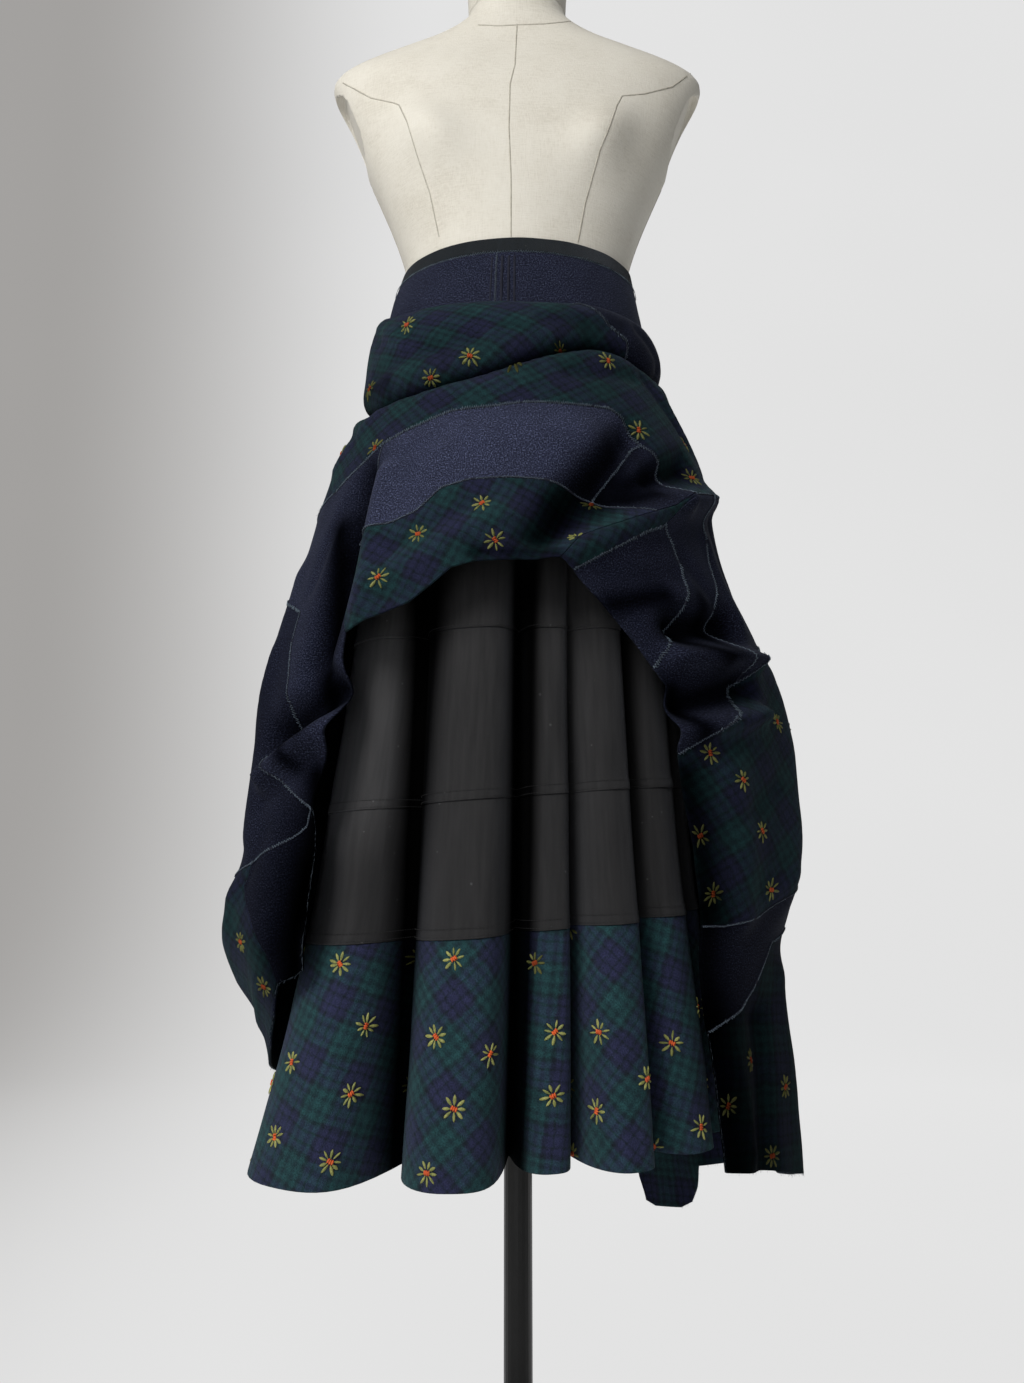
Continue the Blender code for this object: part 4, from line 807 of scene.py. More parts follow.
def inset_outline(outline, gap):
    """The outline moved in by the gap, so that neighbours stay apart."""
    before = outline - np.roll(outline, 1, axis=0)
    after = np.roll(outline, -1, axis=0) - outline
    turn = math.copysign(1.0, np.sum(np.roll(outline, 1, 0)[:, 0] * outline[:, 1]
                                     - np.roll(outline, 1, 0)[:, 1] * outline[:, 0]))
    before /= np.linalg.norm(before, axis=1)[:, None]
    after /= np.linalg.norm(after, axis=1)[:, None]
    normal = np.stack([-before[:, 1] - after[:, 1], before[:, 0] + after[:, 0]], 1) * turn
    normal /= np.linalg.norm(normal, axis=1)[:, None]
    edge_normal = np.stack([-after[:, 1], after[:, 0]], 1) * turn
    reach = np.maximum(0.35, np.sum(normal * edge_normal, axis=1))
    return outline + normal * (gap / reach)[:, None]


def inside_outline(points, outline):
    inside = np.zeros(len(points), bool)
    x, y = points[:, 0], points[:, 1]
    for a, b in zip(outline, np.roll(outline, -1, axis=0)):
        if a[1] == b[1]:
            continue
        crosses = (a[1] > y) != (b[1] > y)
        cut = a[0] + (y - a[1]) / (b[1] - a[1]) * (b[0] - a[0])
        inside ^= crosses & (x < cut)
    return inside


def edge_distance(points, outline):
    nearest = np.full(len(points), np.inf)
    for a, b in zip(outline, np.roll(outline, -1, axis=0)):
        along = b - a
        t = np.clip(((points - a) @ along) / (along @ along), 0.0, 1.0)
        gap = np.linalg.norm(points - a - t[:, None] * along, axis=1)
        nearest = np.minimum(nearest, gap)
    return nearest


def filling_points(outline, spacing):
    """A staggered net of points inside the outline, clear of its edge."""
    low = outline.min(axis=0)
    high = outline.max(axis=0)
    rise = spacing * math.sqrt(3.0) / 2.0
    rows = np.arange(int((high[1] - low[1]) / rise) + 1)
    columns = np.arange(int((high[0] - low[0]) / spacing) + 2)
    grid_row, grid_column = np.meshgrid(rows, columns, indexing="ij")
    x = low[0] + (grid_column + 0.5 * (grid_row % 2)) * spacing
    y = low[1] + (grid_row + 0.5) * rise
    points = np.stack([x.ravel(), y.ravel()], axis=1)
    points = points[inside_outline(points, outline)]
    return points[edge_distance(points, outline) > spacing * 0.62]


def new_object(name, points, faces, material, uvs=None, shade=None):
    """A shown mesh piece that rides on the part. uvs has one pair a face corner."""
    mesh = bpy.data.meshes.new(name)
    mesh.from_pydata([tuple(p) for p in np.asarray(points, float)], [], faces)
    mesh.materials.append(material)
    mesh.polygons.foreach_set("use_smooth", np.ones(len(mesh.polygons), bool))
    if uvs is not None:
        layer = mesh.uv_layers.new(name="UVMap")
        layer.data.foreach_set("uv", np.asarray(uvs, np.float32).ravel())
    if shade is not None:
        attribute = mesh.attributes.new("fold_shade", "FLOAT", "POINT")
        attribute.data.foreach_set("value", np.asarray(shade, np.float32))
    mesh.update()
    piece = bpy.data.objects.new(name, mesh)
    bpy.context.scene.collection.objects.link(piece)
    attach(piece, BODY)
    return piece


def boundary_edges(faces):
    """Directed edges of the faces that no other face shares."""
    uses = set()
    for face in faces:
        for start, end in zip(face, face[1:] + face[:1]):
            uses.add((start, end))
    return [(start, end) for start, end in uses if (end, start) not in uses]


def shell_faces(faces, count):
    """Faces of both layers of a shell and of the rim between them."""
    made = [list(face) for face in faces]
    made += [[i + count for i in reversed(face)] for face in faces]
    for start, end in boundary_edges([list(face) for face in faces]):
        made.append([end, start, start + count, end + count])
    return made


def turned(uv, degrees):
    """Flat points turned by this many degrees."""
    c = math.cos(math.radians(degrees))
    s = math.sin(math.radians(degrees))
    return np.stack([uv[:, 0] * c - uv[:, 1] * s, uv[:, 0] * s + uv[:, 1] * c], axis=1)


def cloth_scale(flat, points, faces):
    """How much longer the cloth is than its flat net, across and along."""
    pairs = np.array([(f[i], f[(i + 1) % 3]) for f in faces for i in range(3)])
    step = flat[pairs[:, 1]] - flat[pairs[:, 0]]
    real = np.linalg.norm(points[pairs[:, 1]] - points[pairs[:, 0]], axis=1)
    length = np.linalg.norm(step, axis=1)
    level = np.abs(step[:, 1]) < 0.3 * length
    upright = np.abs(step[:, 0]) < 0.3 * length
    across = real[level].sum() / length[level].sum() if level.any() else 1.0
    along = real[upright].sum() / length[upright].sum() if upright.any() else 1.0
    return across, along


def cloth_area(points, faces):
    """Area of the triangles or quads of a cloth."""
    total = 0.0
    for k in range(1, len(faces[0]) - 1):
        a, b, c = (points[[face[i] for face in faces]] for i in (0, k, k + 1))
        total += np.linalg.norm(np.cross(b - a, c - a), axis=1).sum() / 2.0
    return float(total)


def cut_size(flat):
    """Width and length of the smallest upright box round the cut, along its own grain."""
    centred = flat - flat.mean(axis=0)
    axes = np.linalg.svd(centred, full_matrices=False)[2]
    reach = centred @ axes.T
    size = reach.max(axis=0) - reach.min(axis=0)
    return float(size[0]), float(size[1])


def declare_sheet(size, area):
    area = min(area, size[0] * size[1])
    area = max(area, 0.31 * size[0] * size[1])


class Cloth:
    """A cloth piece, with the flat place and the shade of each of its outer points."""

    def __init__(self, name, points, faces, places, mapping, outline, check, shades):
        self.name = name
        self.points = points
        self.faces = faces
        self.places = places
        self.mapping = mapping
        self.outline = outline
        self.check = check
        self.shades = shades


def outer_mapping(flat, out):
    """Points of the outer layer over these flat places."""
    return outer_points(np.degrees(flat[:, 0] / UNROLL_RADIUS), flat[:, 1], out)


def make_patch(number, name, cloth, route, materials):
    outline = inset_outline(patch_outline(route, EDGE_STEP), SEAM_GAP / 2)
    ring = inset_outline(outline, EDGE_ROUNDING)
    ring = ring[inside_outline(ring, outline)]
    ring = ring[edge_distance(ring, outline) > EDGE_ROUNDING * 0.6]
    flat = np.concatenate([outline, ring, filling_points(outline, CLOTH_STEP)])
    loop = [list(range(len(outline)))]
    made = delaunay_2d_cdt([Vector(p) for p in flat], [], loop, 1, 1e-7)
    flat = np.array([tuple(p) for p in made[0]])
    faces = [list(face) for face in made[2]]
    outer = outer_mapping(flat, 0.0)
    inner = outer_mapping(flat, -WOOL)
    across, along = cloth_scale(flat, outer, faces)
    metric = flat * (across, along)
    uv = turned(metric, CHECK_TURN.get(name, 0)) + (0.37 * number, 0.23 * number)
    all_faces = shell_faces(faces, len(flat))
    corners = np.array([i % len(flat) for face in all_faces for i in face])
    degrees = np.degrees(flat[:, 0] / UNROLL_RADIUS)
    # Painted shade and light in the cloth's colour: troughs darker and ridges lighter, times the
    # patch's painted tone and the painted shadows; the inner face is painted a fifth darker
    shade = np.clip(1.0 + outer_relief(degrees, flat[:, 1]) * SHADE_RATE, *SHADE_RANGE)
    shade *= PATCH_TONE_AND_SHADE.get(name, 0.7) * shadow_light(degrees, flat[:, 1])
    material = materials["tartan" if cloth == "tartan" else "navy"]
    piece = new_object(name + "_cloth", np.concatenate([outer, inner]), all_faces, material,
                       uv[corners], np.concatenate([shade, shade * 0.8]))
    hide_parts(name)
    declare_sheet(cut_size(metric), cloth_area(outer, faces))
    return Cloth(name, outer, faces, flat, outer_mapping, outline, cloth == "tartan", shade)


def underskirt_mapping(flat, out):
    """Points of the underskirt over places given as flares and heights."""
    return underskirt_points(flat[:, 0], flat[:, 1], out)


def tier_grid(low, high, steps):
    """Columns and heights of a tier of the underskirt, one row a step, columns first."""
    count = len(FLARES) * LOBE_COLUMNS
    column = np.arange(count) / LOBE_COLUMNS
    valleys = flare_valleys(0.5)
    number = np.floor(column).astype(int)
    angle = valleys[number] + (valleys[number + 1] - valleys[number]) * (column - number)
    bottom = seam_height(low, angle) + SEAM_GAP / 2
    top = seam_height(high, angle) - SEAM_GAP / 2
    share = np.concatenate([[0.0, 0.006], np.linspace(0.03, 0.97, steps), [0.994, 1.0]])
    heights = bottom[:, None] + (top - bottom)[:, None] * share[None, :]
    return np.repeat(column[:, None], len(share), axis=1), heights


def grid_normals(points):
    """Outward normals of a net of points that closes round the body."""
    across = np.roll(points, -1, axis=0) - np.roll(points, 1, axis=0)
    up = np.gradient(points, axis=1)
    normal = np.cross(across, up)
    return normal / np.linalg.norm(normal, axis=-1)[..., None]


def make_tier(name, low, high, steps, seam_step, cloth, materials, offset):
    columns, heights = tier_grid(low, high, steps)
    count, rows = columns.shape
    step_out = seam_step * (1.0 - smooth((heights - heights[:, :1] - 0.008) / 0.002))
    points = underskirt_points(columns, heights, step_out)
    inner = points - grid_normals(points) * COTTON
    faces = []
    for column in range(count):
        after = (column + 1) % count
        for row in range(rows - 1):
            faces.append([column * rows + row, after * rows + row,
                          after * rows + row + 1, column * rows + row + 1])
    lobes = len(FLARES)
    width = LOBE_COLUMNS
    uv = np.zeros((lobes, width + 1, rows, 2))
    for lobe in range(lobes):
        take = [(lobe * width + k) % count for k in range(width + 1)]
        line = points[take]
        lengths = np.linalg.norm(np.diff(line, axis=0), axis=-1)
        arc = np.concatenate([np.zeros((1, rows)), np.cumsum(lengths, axis=0)])
        arc -= arc[width // 2]
        place = np.stack([arc, heights[take]], axis=-1).reshape(-1, 2)
        if cloth == "tartan":
            place = turned(place, LOBE_TURN[lobe])
        place = place + (offset + 0.211 * lobe, 0.137 * lobe)
        uv[lobe] = place.reshape(width + 1, rows, 2)
    total = count * rows
    all_faces = shell_faces(faces, total)
    corner_uv = []
    for face in all_faces:
        spots = [divmod(i % total, rows) for i in face]
        first = min(spot[0] for spot in spots)
        last = max(spot[0] for spot in spots)
        start = last if last - first > 1 else first
        lobe = start // width
        for column, row in spots:
            corner_uv.append(uv[lobe, (column - start) % count + start % width, row])
    # Painted shade in the cloth's colour: a quarter darker above 0.8 m and darker over the
    # valleys between flares, with painted light lifting the first flare; the inner face is
    # painted a fifth darker
    growth = curve_values(FLARE_GROWTH, heights)
    depth = smooth((1.02 - heights) / 0.15) * valley_strength(columns, growth)
    lit = UNDERSKIRT_TONE * (1.0 - 0.25 * smooth((heights - 0.80) / 0.10))
    first = smooth((columns - 0.30) / 0.15) * smooth((1.0 - columns) / 0.15)
    lit *= 1.0 + FIRST_FLARE_PAINTED_LIGHT * first * smooth((heights - 0.60) / 0.10)
    shade = lit * (1.0 - 0.97 * depth * (1.0 - valley_light(columns, growth)))
    shade = shade.reshape(-1)
    both = np.concatenate([points.reshape(-1, 3), inner.reshape(-1, 3)])
    piece = new_object(name + "_cloth", both, all_faces, materials[cloth], corner_uv,
                       np.concatenate([shade, shade * 0.8]))
    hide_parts(name + "_front", name + "_back")
    round_length = np.linalg.norm(points - np.roll(points, 1, axis=0), axis=-1).sum(axis=0)
    tall = float(np.linalg.norm(np.diff(points, axis=1), axis=-1).sum(axis=1).max())
    area = cloth_area(points.reshape(-1, 3), faces)
    declare_sheet((float(round_length.max()), tall), area)
    flat = np.stack([columns.reshape(-1), heights.reshape(-1)], axis=1)
    triangles = [[f[0], f[1], f[2]] for f in faces] + [[f[0], f[2], f[3]] for f in faces]
    limits = (heights[:, 0], heights[:, -1])
    return Cloth(name, points.reshape(-1, 3), triangles, flat, underskirt_mapping,
                 limits, cloth == "tartan", shade)


def tube_wall(name, table, start, end, low, high, thickness, material, nodes,
              sides=160, rows=22, bulge=0.0, tone=1.0):
    """A wall on a table of sections between two angles, closed round the body if they meet."""
    closed = abs(end - start) >= FULL_TURN
    share = np.arange(sides) / sides if closed else np.arange(sides + 1) / sides
    angles = start + (end - start) * share
    spread = np.concatenate([[0.0, 0.02], np.linspace(0.06, 0.94, rows), [0.98, 1.0]])
    heights = low + (high - low) * spread
    degrees, height = np.meshgrid(angles, heights, indexing="ij")
    swell = bulge * smooth((height - YOKE_STITCH) / 0.0012)
    swell = swell + 0.0005 * soft_noise(degrees / FULL_TURN * 30, height * 50, 30, 17)
    outer = section_points(table, degrees, height, swell).reshape(-1, 3)
    inner = section_points(table, degrees, height, swell - thickness).reshape(-1, 3)
    count = len(angles)
    line = len(heights)
    faces = []
    for column in range(count if closed else count - 1):
        after = (column + 1) % count
        for row in range(line - 1):
            faces.append([column * line + row, after * line + row,
                          after * line + row + 1, column * line + row + 1])
    radius = float(np.linalg.norm(outer[:, :2], axis=1).mean())
    total = count * line
    all_faces = shell_faces(faces, total)
    flat = np.stack([np.radians(degrees) * radius, height], axis=-1).reshape(-1, 2)
    corner_uv = []
    for face in all_faces:
        columns = [(i % total) // line for i in face]
        wrap = max(columns) - min(columns) > 1
        for i, column in zip(face, columns):
            place = flat[i % total]
            extra = math.tau * radius if wrap and column == 0 else 0.0
            corner_uv.append((place[0] + extra, place[1]))
    piece = new_object(name, np.concatenate([outer, inner]), all_faces, material, corner_uv,
                       np.full(2 * total, tone))
    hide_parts(*nodes)
    size = (math.radians(end - start) * radius, high - low)
    declare_sheet(size, cloth_area(outer, faces))


def make_waist(materials):
    band = [(row[0],) + tuple(reach - WAISTBAND_INSET for reach in row[1:]) for row in YOKE]
    tube_wall("waistband_cloth", band, -180, 180, WAISTBAND_BOTTOM, WAIST_TOP, BAND,
              materials["band"],
              ["waistband_front", "waistband_back"], bulge=WAISTBAND_INSET)
    gap = 0.06
    tube_wall("yoke_front_cloth", YOKE, -90, 90, YOKE_BOTTOM, YOKE_STITCH, BAND,
              materials["navy"],
              ["yoke_front_right_hand", "yoke_front_left_hand"], sides=90, tone=YOKE_TONE)
    tube_wall("yoke_back_cloth", YOKE, 90 + gap, 270 - gap, YOKE_BOTTOM, YOKE_STITCH, BAND,
              materials["navy"], ["yoke_back"],
              sides=90, tone=YOKE_TONE)


def squared_points(heights, degrees):
    """Points of the dress form's sections: superellipses with a mound over each breast."""
    width = curve_values(TORSO, heights, 1)
    front = curve_values(TORSO, heights, 2)
    back = curve_values(TORSO, heights, 3)
    power = 2.0 / curve_values(TORSO, heights, 4)
    angle = np.radians(degrees)
    side = np.sin(angle)
    ahead = np.cos(angle)
    depth = np.where(ahead > 0, front, back)
    x = width * np.sign(side) * np.abs(side) ** power
    y = -depth * np.sign(ahead) * np.abs(ahead) ** power
    for centre in (-BUST_ANGLE, BUST_ANGLE):
        offset = np.radians(wrapped(degrees, centre) - centre) * width
        distance = np.hypot(offset, heights - BUST_HEIGHT)
        y -= BUST_OUT * np.exp(-(distance / BUST_SPREAD) ** 2)
    return np.stack([x, y, heights + 0.0 * x], axis=-1)


def ring_faces(rings, count):
    """Faces between rings of points, each ring after the other."""
    faces = []
    for ring in range(rings - 1):
        for i in range(count):
            j = (i + 1) % count
            faces.append([ring * count + i, ring * count + j,
                          (ring + 1) * count + j, (ring + 1) * count + i])
    return faces


def loft_object(name, rings, material, nodes):
    """A closed body through rings, with a flat lid at either end."""
    count = rings.shape[1]
    last = (len(rings) - 1) * count
    faces = ring_faces(len(rings), count)
    faces.append(list(reversed(range(count))))
    faces.append([last + i for i in range(count)])
    piece = new_object(name, rings.reshape(-1, 3), faces, material)
    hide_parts(*nodes)
    return piece


def armhole_cutter(side):
    """The oval pocket where the form's arm would be, as a solid to cut with."""
    count = ARMHOLE_SIDES
    turns = np.linspace(0.0, math.tau, count, endpoint=False)
    rings = []
    for reach, depth in ((0.94, -1.0), (1.0, -0.75), (1.0, 4.0)):
        ring = np.stack([ARMHOLE_HALF_HEIGHT * reach * np.cos(turns),
                         ARMHOLE_HALF_WIDTH * reach * np.sin(turns),
                         np.full(count, ARMHOLE_DEPTH * depth)], axis=1)
        rings.append(ring)
    points = np.concatenate(rings)
    tilt = side * math.radians(90.0 + ARMHOLE_TILT)
    x = points[:, 0] * math.cos(tilt) + points[:, 2] * math.sin(tilt)
    z = -points[:, 0] * math.sin(tilt) + points[:, 2] * math.cos(tilt)
    centre = ARMHOLE_CENTRE
    points = np.stack([x + side * centre[0], points[:, 1] + centre[1], z + centre[2]], 1)
    faces = [list(reversed(range(count))), [2 * count + i for i in range(count)]]
    faces += ring_faces(3, count)
    mesh = bpy.data.meshes.new("armhole_cutter")
    mesh.from_pydata([tuple(p) for p in points], [], faces)
    cutter = bpy.data.objects.new("armhole_cutter", mesh)
    bpy.context.scene.collection.objects.link(cutter)
    return cutter


def make_form(materials):
    keys = [row[0] for row in TORSO]
    heights = []
    for low, high in zip(keys, keys[1:]):
        steps = max(2, round((high - low) / FORM_STEP))
        heights += [low + (high - low) * i / steps for i in range(steps)]
    heights = np.array(heights + [keys[-1]])
    degrees = np.arange(FORM_SIDES) * FULL_TURN / FORM_SIDES
    level, around = np.meshgrid(heights, degrees, indexing="ij")
    torso = loft_object("form_torso_cover", squared_points(level, around),
                        materials["linen"], ["form_torso"])
    for side in (-1.0, 1.0):
        cutter = armhole_cutter(side)
        cut = torso.modifiers.new("armhole", "BOOLEAN")
        cut.operation = "DIFFERENCE"
        cut.solver = "EXACT"
        cut.object = cutter
        bpy.context.view_layer.update()
        evaluated = torso.evaluated_get(bpy.context.evaluated_depsgraph_get())
        mesh = bpy.data.meshes.new_from_object(evaluated)
        torso.modifiers.clear()
        torso.data = mesh
        bpy.data.objects.remove(cutter, do_unlink=True)
    neck_heights = np.array([1.5943, 1.600, 1.610, 1.620, 1.630, 1.638, 1.645, 1.6495,
                             1.6525, 1.6543, 1.655])
    rings = []
    for height in neck_heights:
        width, front, back = (curve_values(NECK, np.array([height]), column)[0]
                              for column in (1, 2, 3))
        angle = np.radians(degrees)
        depth = np.where(np.cos(angle) > 0, front, back)
        rings.append(np.stack([width * np.sin(angle), -depth * np.cos(angle),
                               np.full(FORM_SIDES, height)], axis=1))
    loft_object("form_neck_cover", np.array(rings), materials["linen"], ["form_neck"])
    return torso


def line_frames(points):
    """Unit directions along a line of points."""
    along = np.gradient(points, axis=0)
    return along / np.maximum(np.linalg.norm(along, axis=1), 1e-9)[:, None]


class Threads:
    """Gathers thin tubes, stitches and hairs into one mesh."""

    def __init__(self):
        self.points = []
        self.faces = []
        self.count = 0
        self.shades = []

    def add(self, points, faces, shade=1.0):
        self.points.append(points)
        self.shades.append(np.full(len(points), shade))
        self.faces += [[i + self.count for i in face] for face in faces]
        self.count += len(points)

    def tube(self, line, normals, radius, sides=3):
        """A thin tube along a line, with pointed ends."""
        along = line_frames(line)
        across = np.cross(along, normals)
        across /= np.maximum(np.linalg.norm(across, axis=1), 1e-9)[:, None]
        up = np.cross(across, along)
        rings = []
        for side in range(sides):
            turn = math.tau * side / sides
            rings.append(line + (across * math.cos(turn) + up * math.sin(turn)) * radius)
        points = np.stack(rings, axis=1).reshape(-1, 3)
        self.add(points, ring_faces(len(line), sides))

    def spindle(self, start, end, normal, radius):
        """One stitch: a flattened spindle from start to end."""
        middle = (start + end) / 2 + normal * radius * 0.5
        along = (end - start) / max(np.linalg.norm(end - start), 1e-9)
        across = np.cross(along, normal)
        shoulder = along * np.linalg.norm(end - start) * 0.28
        points = [start, end]
        for centre in (middle - shoulder, middle + shoulder):
            points += [centre + across * radius, centre + normal * radius,
                       centre - across * radius]
        faces = [[0, 3, 2], [0, 4, 3], [0, 2, 4], [2, 3, 6, 5], [3, 4, 7, 6], [4, 2, 5, 7],
                 [1, 5, 6], [1, 6, 7], [1, 7, 5]]
        self.add(np.array(points), faces)

    def hair(self, root, tip, width):
        side = np.cross(tip - root, (0.3, 0.5, 0.8))
        side = side / max(np.linalg.norm(side), 1e-9) * width
        self.add(np.array([root - side, root + side, tip]), [[0, 1, 2]])

    def finish(self, name, material):
        piece = new_object(name, np.concatenate(self.points), self.faces, material,
                           shade=np.concatenate(self.shades))
        return piece


def mapped_normals(mapping, flat):
    """Outward normals of the cloth over flat places."""
    step = 0.0012
    right = mapping(flat + (step, 0.0), 0.0) - mapping(flat - (step, 0.0), 0.0)
    up = mapping(flat + (0.0, step), 0.0) - mapping(flat - (0.0, step), 0.0)
    normal = np.cross(right, up)
    return normal / np.maximum(np.linalg.norm(normal, axis=1), 1e-9)[:, None]


def zigzag_along(threads, hairs, corners, strength, random):
    """Overlock stitches over a raw edge along flat corners of the outer layer."""
    line = divided(corners, 0.0013, keep_last=True)
    if len(line) < 4:
        return
    along = np.gradient(line, axis=0)
    along /= np.linalg.norm(along, axis=1)[:, None]
    across = np.stack([-along[:, 1], along[:, 0]], axis=1)
    swing = np.where(np.arange(len(line)) % 2 == 0, 1.0, -1.0)
    reach = 0.0014 * random.uniform(0.55, 1.25, len(line)) * strength
    flat = line + across * (swing * reach)[:, None]
    flat += random.normal(0.0, 0.00025, flat.shape)
    normals = mapped_normals(outer_mapping, flat)
    points = outer_mapping(flat, 0.0) + normals * (0.0006 + 0.0005 * (swing > 0))[:, None]
    start = 0
    while start < len(line) - 3:
        run = int(random.integers(8, 60))
        stop = min(len(line), start + run)
        if stop - start > 2:
            threads.tube(points[start:stop], normals[start:stop], 0.00036 * strength ** 0.5)
        start = stop + int(random.integers(0, 3 if strength > 0.8 else 7))
    for i in range(0, len(line), 2):
        if random.random() > 0.55 * strength:
            continue
        lean = random.normal(0.0, 1.0, 3) * 0.0011
        tip = points[i] + normals[i] * random.uniform(0.0003, 0.0013) + lean
        hairs.hair(points[i] - normals[i] * 0.0004, tip, 0.00011)


def raised_seam(threads, corners):
    """A soft rounded ridge under the stitches, where the raw edge lies on the seam."""
    line = divided(corners, 0.004, keep_last=True)
    normals = mapped_normals(outer_mapping, line)
    points = outer_mapping(line, -0.0002)
    threads.tube(points, normals, 0.0011, sides=6)


def make_outer_seams(materials):
    random = np.random.default_rng(21)
    threads = Threads()
    hairs = Threads()
    ridges = Threads()
    for name, strength in ZIGZAG_SEAMS.items():
        corners = seam_places(name)
        zigzag_along(threads, hairs, corners, strength, random)
        raised_seam(ridges, corners)
    for name in RAW_EDGES:
        line = divided(seam_places(name), 0.0016, keep_last=True)
        normals = mapped_normals(outer_mapping, line)
        points = outer_mapping(line, 0.0)
        for i in range(len(line)):
            lean = random.normal(0.0, 1.0, 3) * 0.0010
            tip = points[i] + (0.0, 0.0, -random.uniform(0.0005, 0.0026)) + lean
            hairs.hair(points[i] - normals[i] * 0.001 + (0, 0, 0.0006), tip, 0.00013)
    threads.finish("edge_stitching", materials["thread"])
    hairs.finish("edge_fray", materials["fray"])
    ridges.finish("seam_ridges", materials["seam"])


def stitch_row(threads, points, normals, length, gap, radius, lift):
    """Straight stitches along a line of points."""
    steps = np.linalg.norm(np.diff(points, axis=0), axis=1)
    place = np.concatenate([[0.0], np.cumsum(steps)])
    starts = np.arange(0.0, place[-1] - length, length + gap)
    for start in starts:
        ends = []
        for at in (start, start + length):
            ends.append(np.array([np.interp(at, place, points[:, k]) for k in range(3)]))
        normal = np.array([np.interp(start, place, normals[:, k]) for k in range(3)])
        ends = [end + normal * lift for end in ends]
        threads.spindle(ends[0], ends[1], normal, radius)


def make_underskirt_seams(materials):
    threads = Threads()
    columns = np.arange(0.0, len(FLARES), 0.02)
    valleys = flare_valleys(0.5)
    number = np.floor(columns).astype(int)
    angle = valleys[number] + (valleys[number + 1] - valleys[number]) * (columns - number)
    rows = [
        (UPPER_SEAM, 0.0030), (MIDDLE_SEAM, 0.0022), (MIDDLE_SEAM, 0.0088),
        (FLOUNCE_SEAM, 0.0024), (FLOUNCE_SEAM, 0.0094),
    ]
    for seam, above in rows:
        heights = seam_height(seam, angle) + above
        points = underskirt_points(columns, heights)
        normals = np.cross(np.gradient(points, axis=0), (0.0, 0.0, 1.0))
        normals /= np.linalg.norm(normals, axis=1)[:, None]
        stitch_row(threads, points, normals, 0.0023, 0.0009, 0.00028, 0.0010)
    threads.finish("underskirt_topstitching", materials["black_thread"])


def yoke_normals(degrees, height):
    return section_points(YOKE, degrees, height, 1.0) - section_points(YOKE, degrees, height)


def make_yoke_seams(materials):
    """Raw stitched edge round the yoke's top, its centre seam and the pressed allowances."""
    random = np.random.default_rng(33)
    threads = Threads()
    hairs = Threads()
    around = np.arange(-180.0, 180.0, 0.56)
    swing = np.where(np.arange(len(around)) % 2 == 0, 1.0, -1.0)
    height = YOKE_STITCH + swing * 0.0013 * random.uniform(0.5, 1.3, len(around))
    points = section_points(YOKE, around, height, 0.0007)
    normals = yoke_normals(around, height)
    threads.tube(points, normals, 0.00030)
    for i in range(0, len(around), 2):
        lean = random.normal(0.0, 1.0, 3) * 0.0009
        hairs.hair(points[i], points[i] + normals[i] * 0.0008 + lean, 0.00011)
    for centre in (YOKE_SEAM_ANGLE, 90.0, -90.0, 170.0):
        rise = np.arange(YOKE_BOTTOM, YOKE_STITCH, 0.0013)
        swing = np.where(np.arange(len(rise)) % 2 == 0, 1.0, -1.0)
        degrees = centre + swing * 0.45 * random.uniform(0.5, 1.2, len(rise))
        points = section_points(YOKE, degrees, rise, 0.0010)
        normals = yoke_normals(degrees, rise)
        threads.tube(points, normals, 0.00026)
    threads.finish("yoke_stitching", materials["thread"])
    hairs.finish("yoke_fray", materials["fray"])
    ridges = Threads()
    for centre, radius in ((YOKE_SEAM_ANGLE, 0.0012), (YOKE_SEAM_ANGLE + 2.4, 0.0015),
                           (YOKE_SEAM_ANGLE + 5.2, 0.0013), (YOKE_SEAM_ANGLE + 7.6, 0.0011),
                           (YOKE_SEAM_ANGLE - 2.0, 0.0010), (90.0, 0.0012),
                           (-90.0, 0.0012), (170.0, 0.0012)):
        rise = np.arange(YOKE_BOTTOM, YOKE_STITCH - 0.001, 0.006)
        degrees = np.full(len(rise), centre)
        points = section_points(YOKE, degrees, rise, -0.0003)
        normals = yoke_normals(degrees, rise)
        ridges.tube(points, normals, radius, sides=8)
    ridges.finish("yoke_pressed_seams", materials["seam"])


def pixel_ray(x, y):
    """Direction from the camera through a pixel of the photograph."""
    right = (x - PHOTO_WIDTH / 2) / FOCAL_PIXELS
    down = (y - PHOTO_HEIGHT / 2) / FOCAL_PIXELS
    tilt = math.radians(CAMERA_TILT)
    forward = np.array([0.0, math.cos(tilt), math.sin(tilt)])
    up = np.array([0.0, -math.sin(tilt), math.cos(tilt)])
    return Vector(forward + np.array([1.0, 0.0, 0.0]) * right - up * down).normalized()


class Covering:
    """All cloth that flowers can sit on, to be hit by a ray."""

    def __init__(self, cloths):
        self.cloths = cloths
        points = []
        faces = []
        self.owner = []
        total = 0
        for number, cloth in enumerate(cloths):
            points.append(cloth.points)
            faces += [[i + total for i in face] for face in cloth.faces]
            self.owner += [(number, k) for k in range(len(cloth.faces))]
            total += len(cloth.points)
        everything = np.concatenate(points)
        self.tree = BVHTree.FromPolygons([Vector(p) for p in everything], faces)

    def hit(self, origin, direction):
        """The cloth and flat place that a ray meets, and how far along, or None."""
        place, _, index, distance = self.tree.ray_cast(origin, direction)
        if index is None:
            return None
        number, face = self.owner[index]
        cloth = self.cloths[number]
        corners = cloth.faces[face]
        a, b, c = (cloth.points[i] for i in corners)
        target = np.array(place)
        basis = np.stack([b - a, c - a], axis=1)
        share = np.linalg.lstsq(basis, target - a, rcond=None)[0]
        flat = cloth.places[corners]
        if flat[:, 0].max() - flat[:, 0].min() > 5.0:
            flat = flat.copy()
            flat[flat[:, 0] < 5.0, 0] += len(FLARES)
        return cloth, flat[0] + (flat[1] - flat[0]) * share[0] + (
            flat[2] - flat[0]) * share[1], distance


